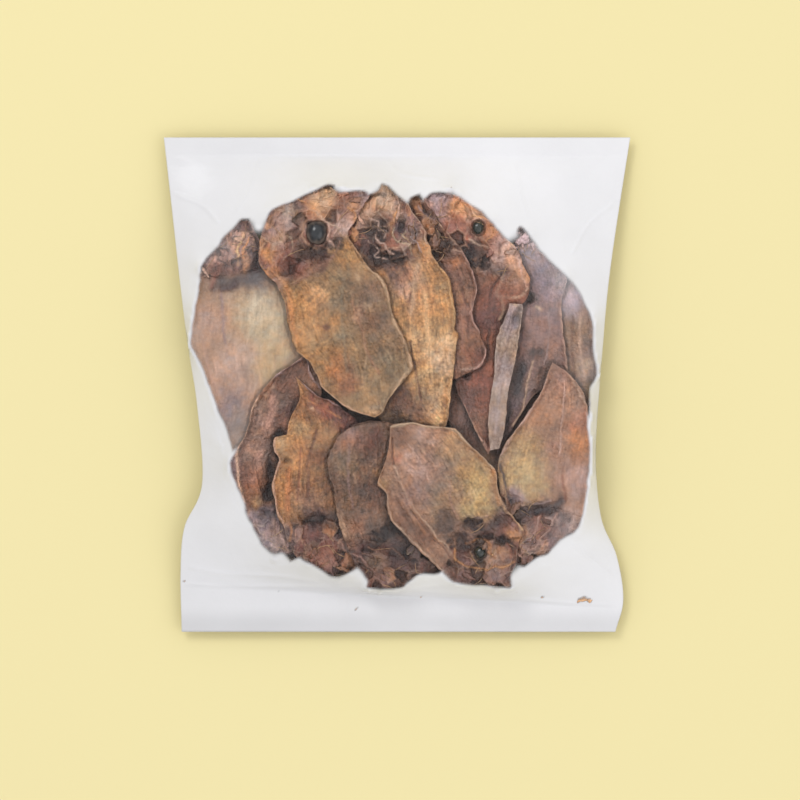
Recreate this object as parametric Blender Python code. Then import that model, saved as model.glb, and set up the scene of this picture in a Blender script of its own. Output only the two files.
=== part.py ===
"""A clear, sealed pillow bag filled by a fanned heap of dried, split rabbitfish.

The bag lies flat with its shown side up. It is one closed solid of the film's outer form:
flat sealed bands at the head and foot, side folds that the heap draws in to a waist, a flat
belly, and the fish that press out against the film, which is drawn tight over them.
Metres, +Z up. The origin is on the resting plane, under the middle of the bag.
"""

import math

import bmesh
import bpy
import numpy as np
from mathutils import Vector

MM = 0.001

# Bag, in metres. The foot seal runs aslant, so it is deeper on the left than on the right.
BAG_HEIGHT = 249 * MM
HEAD_SEAL = 9 * MM
FOOT_SEAL_LEFT = 23 * MM
FOOT_SEAL_RIGHT = 12 * MM
BAND_THICKNESS = 0.9 * MM
BAND_LEVEL = 6 * MM
SIDE_FOLD_LEVEL = 13 * MM

# Side folds: (distance along the bag from its middle, distance out from its centre line).
LEFT_FOLD = (
    (-124.5 * MM, 108.5 * MM),
    (-95 * MM, 109.0 * MM),
    (-72 * MM, 107.0 * MM),
    (-50 * MM, 98.0 * MM),
    (-10 * MM, 100.5 * MM),
    (30 * MM, 106.5 * MM),
    (124.5 * MM, 117.5 * MM),
)
RIGHT_FOLD = (
    (-124.5 * MM, 110.0 * MM),
    (-108 * MM, 114.0 * MM),
    (-86 * MM, 110.5 * MM),
    (-66 * MM, 102.5 * MM),
    (-32 * MM, 100.0 * MM),
    (20 * MM, 103.5 * MM),
    (60 * MM, 107.5 * MM),
    (124.5 * MM, 117.5 * MM),
)

# The heap rests on the plane within this ellipse, and its underside curves up outside it.
BELLY_WIDTH = 158 * MM
BELLY_LENGTH = 162 * MM
BELLY_CENTRE = (-1.5 * MM, -1 * MM)

# Fish under the upper film, in millimetres: tail tip and head tip with their heights, half
# widths to the left and right of the line from tail to head, how blunt tail and head are
# (0 is square, 1 is pointed), and how much the left side rises for each millimetre across.
UPPER_FISH = (
    ((-79, -32, 24), (-77, 83, 22), 25, 30, 0.62, 0.45, -0.07),
    ((-16, -18, 33), (-42, 98, 27), 29, 27, 0.34, 0.45, 0.00),
    ((20, -20, 30), (-2, 99, 26), 20, 19, 0.30, 0.45, -0.08),
    ((40, 4, 28), (20, 94, 24), 9, 12, 0.50, 0.45, -0.10),
    ((50, -32, 27), (36, 97, 24), 16, 24, 0.70, 0.45, -0.06),
    ((51, -31, 29), (60, 42, 28), 5, 6, 0.30, 0.30, 0.00),
    ((66, -26, 25), (62, 79, 21), 12, 24, 0.60, 0.40, 0.02),
    ((95, -24, 20), (86, 60, 19), 12, 11, 0.50, 0.50, 0.05),
    ((-46, 14, 27), (-56, -92, 20), 14, 28, 0.50, 0.42, 0.08),
    ((-46, 4, 29), (-36, -96, 22), 18, 24, 0.55, 0.45, -0.05),
    ((-12, -19, 29), (-12, -101, 22), 20, 22, 0.25, 0.45, -0.06),
    ((4, -19, 33), (52, -99, 25), 26, 24, 0.28, 0.42, 0.00),
    ((78, 11, 29), (70, -88, 22), 24, 26, 0.66, 0.35, -0.04),
)
FISH_CROWN = 1.6 * MM
FISH_EDGE = 5 * MM
FISH_THICKNESS = 3.5 * MM
NOSE_LENGTH = 18 * MM
NOSE_DROP = 8 * MM

# Cells of each film sheet, those of its rows that lie in the seals, how much closer the
# others stand towards the edges, and the rounds of smoothing that draw the sheet taut.
COLUMNS = 58
ROWS = 61
FOOT_ROWS = 4
HEAD_ROWS = 2
EDGE_CROWDING = 0.25
STRETCH_ROUNDS = 900

# Faces of the belly that turn less than this are one flat face.
FLAT_ANGLE = math.radians(0.1)


def smooth_station(stations, along):
    """The value at a distance along, on a smooth line through the named stations."""
    low = max(0, sum(1 for station in stations if station[0] <= along) - 1)
    low = min(low, len(stations) - 2)
    (start, start_value), (end, end_value) = stations[low], stations[low + 1]
    before_start, before_value = stations[max(low - 1, 0)]
    after_end, after_value = stations[min(low + 2, len(stations) - 1)]
    span = end - start
    start_slope = (end_value - before_value) / (end - before_start)
    end_slope = (after_value - start_value) / (after_end - start)
    t = min(max((along - start) / span, 0.0), 1.0)
    return (
        (2 * t**3 - 3 * t**2 + 1) * start_value
        + (t**3 - 2 * t**2 + t) * span * start_slope
        + (3 * t**2 - 2 * t**3) * end_value
        + (t**3 - t**2) * span * end_slope
    )


def crowded(p):
    """Spreads even steps from -1 to 1 so that they stand closer towards both ends."""
    return (1 - EDGE_CROWDING) * p + EDGE_CROWDING * math.sin(p * math.pi / 2)


def fish_height(fish, x, y):
    """Height of one fish's upper face at (x, y), or 0 outside its leaf-shaped outline."""
    tail, head, left, right, tail_blunt, head_blunt, roll = fish
    start = Vector(tail[:2]) * MM
    line = Vector(head[:2]) * MM - start
    offset = Vector((x, y)) - start
    along = offset.dot(line) / line.length_squared
    if not 0 < along < 1:
        return 0.0
    widest = tail_blunt / (tail_blunt + head_blunt)
    outline = (along / widest) ** tail_blunt * ((1 - along) / (1 - widest)) ** head_blunt
    side = (line.x * offset.y - line.y * offset.x) / line.length
    half_width = (left if side > 0 else right) * MM * outline
    inside = half_width - abs(side)
    if inside <= 0:
        return 0.0
    level = (tail[2] + (head[2] - tail[2]) * along) * MM
    crown = FISH_CROWN * (1 - (side / half_width) ** 2)
    edge = max(0.0, 1 - inside / FISH_EDGE) ** 2
    nose = max(0.0, 1 - (1 - along) * line.length / NOSE_LENGTH) ** 2
    return level + roll * side + crown - FISH_THICKNESS * edge - NOSE_DROP * nose


def edge_level(y):
    """Height of the bag's edge: low in the sealed bands, half way up the heap at the sides."""
    along = min(1.0, abs(y) / (BAG_HEIGHT / 2 - HEAD_SEAL))
    return BAND_LEVEL + (SIDE_FOLD_LEVEL - BAND_LEVEL) * (1 - along**3) ** 2


def row_place(row, across):
    """Distance along the bag of a grid row, where it crosses the bag at across (-1 to 1)."""
    foot = -BAG_HEIGHT / 2
    foot_seal = FOOT_SEAL_LEFT + (FOOT_SEAL_RIGHT - FOOT_SEAL_LEFT) * (across + 1) / 2
    if row <= FOOT_ROWS:
        return foot + foot_seal * row / FOOT_ROWS
    if row >= ROWS - HEAD_ROWS:
        return BAG_HEIGHT / 2 - HEAD_SEAL * (ROWS - row) / HEAD_ROWS
    step = (row - FOOT_ROWS) / (ROWS - FOOT_ROWS - HEAD_ROWS)
    low = foot + foot_seal
    high = BAG_HEIGHT / 2 - HEAD_SEAL
    return low + (high - low) * (crowded(2 * step - 1) + 1) / 2


def in_belly(x, y):
    """True where the underside of the heap rests on the plane."""
    u = (x - BELLY_CENTRE[0]) / (BELLY_WIDTH / 2)
    v = (y - BELLY_CENTRE[1]) / (BELLY_LENGTH / 2)
    return u * u + v * v < 1


def drawn_taut(levels, held, pushed):
    """Heights of a film held in its seals and folds, and pushed up by what lies under it."""
    film = np.maximum(levels, pushed)
    for _ in range(STRETCH_ROUNDS):
        around = film.copy()
        around[1:-1, 1:-1] = (film[2:, 1:-1] + film[:-2, 1:-1] + film[1:-1, 2:] + film[1:-1, :-2]) / 4
        film = np.where(held, levels, np.maximum(around, pushed))
    return film


def film_points(upper):
    """Points of one film as a grid of rows, from the foot of the bag to its head."""
    points = np.zeros((ROWS + 1, COLUMNS + 1, 3))
    levels = np.zeros((ROWS + 1, COLUMNS + 1))
    pushed = np.zeros_like(levels)
    held = np.zeros(levels.shape, dtype=bool)
    for row in range(ROWS + 1):
        sealed = row <= FOOT_ROWS or row >= ROWS - HEAD_ROWS
        for column in range(COLUMNS + 1):
            across = crowded(2 * column / COLUMNS - 1)
            y = row_place(row, across)
            x = across * smooth_station(RIGHT_FOLD if across > 0 else LEFT_FOLD, y)
            points[row, column] = (x, y, 0)
            levels[row, column] = edge_level(y)
            held[row, column] = sealed or column in (0, COLUMNS)
            if upper:
                pushed[row, column] = max(fish_height(fish, x, y) for fish in UPPER_FISH)
            else:
                pushed[row, column] = 0.0 if in_belly(x, y) else -BAG_HEIGHT
    if upper:
        points[..., 2] = drawn_taut(levels, held, pushed) + BAND_THICKNESS / 2
    else:
        points[..., 2] = -drawn_taut(BAND_THICKNESS / 2 - levels, held, pushed)
    return points.reshape(-1, 3)


def film_sheet(bm, upper):
    """One film of the bag, as a grid moved onto its surface. Returns its border edges."""
    made = bmesh.ops.create_grid(bm, x_segments=COLUMNS, y_segments=ROWS, size=1.0)
    for vert, point in zip(made["verts"], film_points(upper)):
        vert.co = Vector(point)
    faces = {face for vert in made["verts"] for face in vert.link_faces}
    return [edge for edge in {e for f in faces for e in f.edges} if edge.is_boundary]


def film_material():
    material = bpy.data.materials.new("clear_film")
    material.use_nodes = True
    shader = material.node_tree.nodes["Principled BSDF"]
    shader.inputs["Base Color"].default_value = (0.86, 0.86, 0.88, 1.0)
    shader.inputs["Roughness"].default_value = 0.18
    shader.inputs["Metallic"].default_value = 0.0
    return material


def make_bag(collection):
    bm = bmesh.new()
    rims = film_sheet(bm, upper=True) + film_sheet(bm, upper=False)
    bmesh.ops.bridge_loops(bm, edges=rims)
    flat = [edge for edge in bm.edges if max(vert.co.z for vert in edge.verts) == 0]
    bmesh.ops.dissolve_limit(bm, angle_limit=FLAT_ANGLE, verts=[], edges=flat)
    bmesh.ops.recalc_face_normals(bm, faces=bm.faces)
    mesh = bpy.data.meshes.new("bag")
    bm.to_mesh(mesh)
    bm.free()
    mesh.shade_smooth()
    mesh.materials.append(film_material())
    bag = bpy.data.objects.new("bag", mesh)
    collection.objects.link(bag)


def main():
    for old in list(bpy.data.objects):
        bpy.data.objects.remove(old)
    collection = bpy.data.collections.new("bag_of_dried_rabbitfish")
    bpy.context.scene.collection.children.link(collection)
    make_bag(collection)


main()
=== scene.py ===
import math
import random
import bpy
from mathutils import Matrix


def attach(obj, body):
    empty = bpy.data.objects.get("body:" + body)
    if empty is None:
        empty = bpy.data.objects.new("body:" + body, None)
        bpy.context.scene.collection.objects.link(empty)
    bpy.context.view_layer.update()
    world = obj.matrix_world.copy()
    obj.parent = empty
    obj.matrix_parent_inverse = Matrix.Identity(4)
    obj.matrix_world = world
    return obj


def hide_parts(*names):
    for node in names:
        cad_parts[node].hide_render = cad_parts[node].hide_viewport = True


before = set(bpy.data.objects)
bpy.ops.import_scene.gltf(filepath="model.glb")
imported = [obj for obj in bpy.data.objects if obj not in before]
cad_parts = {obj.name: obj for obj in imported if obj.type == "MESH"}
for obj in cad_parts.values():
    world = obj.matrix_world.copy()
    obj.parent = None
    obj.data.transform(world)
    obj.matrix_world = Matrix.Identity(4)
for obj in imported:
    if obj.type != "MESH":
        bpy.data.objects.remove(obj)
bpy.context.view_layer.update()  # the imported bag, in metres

from types import SimpleNamespace

import bmesh
import bpy
import numpy as np
from mathutils import Vector

mm = 0.001

# Look of the whole scene
stageLook = {
    "floorColor": (0.735, 0.65, 0.352),
    "viewCentre": (1.5, -7.75),  # mm, where the camera looks straight down
    "viewWidth": 400,  # mm across the picture, at the top of the heap
    "cameraHeight": 2400,  # mm
    "heapLevel": 24,  # mm, the level that is seen at true scale
    "skyStrength": 0.9,
    "keyPower": 16,
    "fillPower": 7,
}

# The bag, in mm; the fold lines are the CAD's
bagLook = {
    "height": 249,
    "headSeal": 9,
    "footSealLeft": 23,
    "footSealRight": 12,
    "filmGap": 0.35,  # between film and fish
    "bandGap": 0.45,  # between the two films in the seals
    "bandLevel": 6,
    "foldLevel": 13,
    "columns": 130,  # cells of the lower film; the upper has twice as many each way
    "rows": 138,
    "footRows": 10,  # rows of cells in the seals
    "headRows": 5,
    "stretchRounds": (1200, 500),  # on the coarse grid, then on the fine one
    "contactHaze": 0.008,
    "airHaze": 0.05,  # added where the film stands off the fish
    "marginHaze": 0.92,  # the upper film beyond the heap
    "backHaze": 0.94,  # the lower film beyond the heap
    # x, y, radius and haze of milky places where the film stands off the lower fish; partly a painted
    # reflection of the lamps on the film
    "mistAndGlare": [(86, 50, 13, 0.2), (70, 70, 9, 0.16), (-86, 68, 13, 0.1), (-66, -84, 10, 0.14),
              (88, -74, 10, 0.1), (-102, 22, 11, 0.06), (-88, -30, 10, 0.1), (99, 8, 9, 0.1),
              (-69.1, 79, 2.3, 0.9), (59, 74.5, 2, 0.6)],
    "milk": (0.745, 0.74, 0.76),  # the film's own colour where it is milky
    # the shade below is painted shade: the milk darkened over the lower margin and at the foot
    "shade": (0.03, 0.12),  # how much darker the milk is over the lower margin and at the foot
    "crinkle": 0.4,
    "filmRough": 0.45,
    "glossRough": 0.16,
    "filmIndex": 1.2,  # low, so that it shines at low angles alone
    # y and half width of the bag, foot to head
    "leftFold": [(-124.5, 108.5), (-95, 109), (-72, 107), (-50, 98), (-10, 100.5), (30, 106.5),
                 (124.5, 117.5)],
    "rightFold": [(-124.5, 110), (-108, 114), (-86, 110.5), (-66, 102.5), (-32, 100), (20, 103.5),
                  (60, 107.5), (124.5, 117.5)],
    # width, height and points of the folds pressed into the film
    "creases": [(0.8, 0.7, [(-106, -101), (-60, -101.6), (-16, -101.9), (40, -106), (106, -112)]),
                (0.7, 0.6, [(1.5, -102.8), (16, -101.4), (30, -100), (44, -101), (56, -103.5)]),
                (0.9, 0.5, [(-104, -92), (-88, -95), (-62, -96), (-40, -99)]),
                (0.9, 0.5, [(-112, 96), (-98, 90), (-90, 82)]),
                (0.8, 0.4, [(110, 92), (96, 80), (88, 66)]),
                (0.7, 0.4, [(108, -96), (96, -86), (88, -80)]),
                (0.7, 0.35, [(-4, 112), (2, 106), (20, 103)]),
                (0.6, 0.35, [(60, 112), (62, 96), (66, 84)]),
                (0.6, 0.3, [(-70, 113), (-74, 98), (-80, 88)])],
}

# What every fish shares, in mm
fishLook = {
    "frontPitch": 0.64,  # mesh step of the fish that show from above
    "backPitch": 0.95,
    "midLevel": 16,  # where the upper and the lower half of the heap meet
    "upperFloor": 14,  # what the upper fish lie on
    "lowerFloor": 3,  # the same for the lower fish, counted down from the middle level
    "lowerLimit": 15.2,  # how far down the lower fish reach
    "bodyThickness": 2.6,
    "headThickness": 8.0,
    "crown": 1.2,
    "warp": 1.2,
    "curl": 1.5,
    "plateStep": 1.7,  # between the bone plates of the head
    "collarDepth": 2.2,
    "wander": 0.5,  # how far drawn lines stray
    "tint": (0.945, 0.78, 0.78),  # over all flesh alike
}

# Colours as they look in daylight, 0 to 255
palette = {
    "olive": (158, 137, 100), "gold": (192, 156, 102), "cream": (206, 188, 154), "tan": (172, 139, 110),
    "orange": (198, 142, 90), "russet": (142, 98, 76), "brown": (112, 84, 66), "dark": (42, 30, 27),
    # rim, rimGrey and rimPink: the paler tone of thin dried edges, partly a painted highlight where edges
    # and ridges stand up
    "grey": (142, 128, 116), "mauve": (144, 124, 120), "rim": (216, 192, 162), "amber": (222, 166, 106),
    "amberLight": (240, 200, 144), "paleGold": (206, 182, 130), "redBrown": (146, 94, 74),
    "redOrange": (188, 116, 82), "lilac": (156, 142, 158), "slate": (122, 118, 124),
    "slateDark": (78, 74, 74),
    "greenBlack": (42, 46, 42), "greenGrey": (144, 140, 116), "rimGrey": (178, 164, 158),
    "rimPink": (212, 184, 162), "purpleBrown": (78, 60, 58), "greenOlive": (138, 124, 94),
    "greyOlive": (140, 128, 110), "pinkTan": (180, 148, 128), "maroon": (106, 72, 64),
    "yellow": (196, 174, 120), "strip": (164, 152, 142), "sliver": (150, 118, 86),
    "paleGreen": (190, 182, 148),
    "fibreGold": (190, 158, 106),
    # the next tone is a painted highlight on golden flesh, partly its pale fibres
    "bright": (232, 208, 156), "lilacPale": (204, 190, 194),
}
# Tones that also sink the skin, and how far; their dark colour in the sunk hollows is partly the flesh's
# own, partly painted shade
hollowTones = {"dark": 1.0, "greenBlack": 1.0, "slateDark": 0.5, "purpleBrown": 0.35}


def toLinear(color):
    return np.array([((c / 255 + 0.055) / 1.055) ** 2.4 if c > 10 else c / 255 / 12.92 for c in color])


def hashed(ix, iy, seed):
    n = (ix * 374761393 + iy * 668265263 + seed * 974711) & 0xFFFFFFFF
    n = ((n ^ (n >> 13)) * 1274126177) & 0xFFFFFFFF
    return ((n ^ (n >> 16)) & 0xFFFF) / 65535.0


def softNoise(x, y, size, seed):  # smooth noise from -1 to 1, size in mm
    px, py = x / size + 1000, y / size + 1000
    ix, iy = np.floor(px).astype(np.int64), np.floor(py).astype(np.int64)
    fx, fy = px - ix, py - iy
    u, v = fx * fx * (3 - 2 * fx), fy * fy * (3 - 2 * fy)
    low = hashed(ix, iy, seed) * (1 - u) + hashed(ix + 1, iy, seed) * u
    high = hashed(ix, iy + 1, seed) * (1 - u) + hashed(ix + 1, iy + 1, seed) * u
    return (low * (1 - v) + high * v) * 2 - 1


def layeredNoise(x, y, size, seed, layers=3):
    total = 0
    for layer in range(layers):
        total = total + softNoise(x, y, size / 2**layer, seed + 31 * layer) / 2**layer
    return total / 1.6


def plateNoise(x, y, size, seed):  # distance to the nearest seam in cells, and a value for each plate
    px, py = x / size + 1000, y / size + 1000
    ix, iy = np.floor(px).astype(np.int64), np.floor(py).astype(np.int64)
    best, second, tag = np.full(x.shape, 9.0), np.full(x.shape, 9.0), np.zeros(x.shape)
    for dx in (-1, 0, 1):
        for dy in (-1, 0, 1):
            cx, cy = ix + dx, iy + dy
            away = np.hypot(px - cx - 0.1 - 0.8 * hashed(cx, cy, seed),
                            py - cy - 0.1 - 0.8 * hashed(cx, cy, seed + 5))
            nearer = away < best
            second = np.where(nearer, best, np.minimum(second, away))
            tag = np.where(nearer, hashed(cx, cy, seed + 9), tag)
            best = np.minimum(best, away)
    return second - best, tag


def smoothStep(value, low, high):
    t = np.clip((value - low) / (high - low), 0, 1)
    return t * t * (3 - 2 * t)


def smoothLine(points, count):  # even steps along a smooth line through the points
    p = np.array(points, float)
    p = np.vstack([2 * p[0] - p[1], p, 2 * p[-1] - p[-2]])
    fine = []
    for i in range(1, len(p) - 2):
        t = np.linspace(0, 1, 16, endpoint=False)[:, None]
        a, b, c, d = p[i - 1:i + 3]
        bend, twist = 2 * a - 5 * b + 4 * c - d, 3 * b - a - 3 * c + d
        fine.append(0.5 * (2 * b + (c - a) * t + bend * t**2 + twist * t**3))
    fine = np.vstack(fine + [p[-2:-1]])
    length = np.concatenate([[0], np.cumsum(np.hypot(*np.diff(fine, axis=0).T))])
    even = np.linspace(0, length[-1], count)
    return np.stack([np.interp(even, length, fine[:, k]) for k in (0, 1)], 1)


def lineDistance(x, y, points):
    far = np.full(x.shape, 1e9)
    line = smoothLine(points, 6 * len(points))
    for (ax, ay), (bx, by) in zip(line[:-1], line[1:]):
        dx, dy = bx - ax, by - ay
        k = np.clip(((x - ax) * dx + (y - ay) * dy) / (dx * dx + dy * dy), 0, 1)
        far = np.minimum(far, np.hypot(x - ax - k * dx, y - ay - k * dy))
    return far


def station(stations, along):
    places = [s[0] for s in stations]
    line = smoothLine(stations, 200)
    return np.interp(np.clip(along, places[0], places[-1]), line[:, 0], line[:, 1])


# A map of the heap's height over the plane, one cell a millimetre, with its half width and half height
mapHalf = (122, 128)


def emptyMap(level):
    return np.full((2 * mapHalf[1] + 1, 2 * mapHalf[0] + 1), float(level))


def mapAt(heights, x, y):
    px = np.clip(x + mapHalf[0], 0, heights.shape[1] - 1.001)
    py = np.clip(y + mapHalf[1], 0, heights.shape[0] - 1.001)
    ix, iy = px.astype(int), py.astype(int)
    fx, fy = px - ix, py - iy
    low = heights[iy, ix] * (1 - fx) + heights[iy, ix + 1] * fx
    high = heights[iy + 1, ix] * (1 - fx) + heights[iy + 1, ix + 1] * fx
    return low * (1 - fy) + high * fy


def doubled(grid):
    wide = np.empty((grid.shape[0], 2 * grid.shape[1] - 1))
    wide[:, ::2] = grid
    wide[:, 1::2] = (grid[:, 1:] + grid[:, :-1]) / 2
    tall = np.empty((2 * grid.shape[0] - 1, wide.shape[1]))
    tall[::2] = wide
    tall[1::2] = (wide[1:] + wide[:-1]) / 2
    return tall


def raiseMap(heights, x, y, z):
    x, y, z = doubled(x), doubled(y), doubled(z)
    ix = np.clip(np.rint(x + mapHalf[0]).astype(int), 0, heights.shape[1] - 1)
    iy = np.clip(np.rint(y + mapHalf[1]).astype(int), 0, heights.shape[0] - 1)
    np.maximum.at(heights, (iy, ix), z)


def widened(grid, steps):  # the highest value within some cells
    for _ in range(steps):
        out = grid.copy()
        out[1:] = np.maximum(out[1:], grid[:-1])
        out[:-1] = np.maximum(out[:-1], grid[1:])
        out[:, 1:] = np.maximum(out[:, 1:], grid[:, :-1])
        out[:, :-1] = np.maximum(out[:, :-1], grid[:, 1:])
        grid = out
    return grid


def blurred(grid, rounds):
    for _ in range(rounds):
        p = np.pad(grid, 1, mode="edge")
        grid = (p[2:, 1:-1] + p[:-2, 1:-1] + p[1:-1, 2:] + p[1:-1, :-2] + 2 * grid) / 6
    return grid


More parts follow.
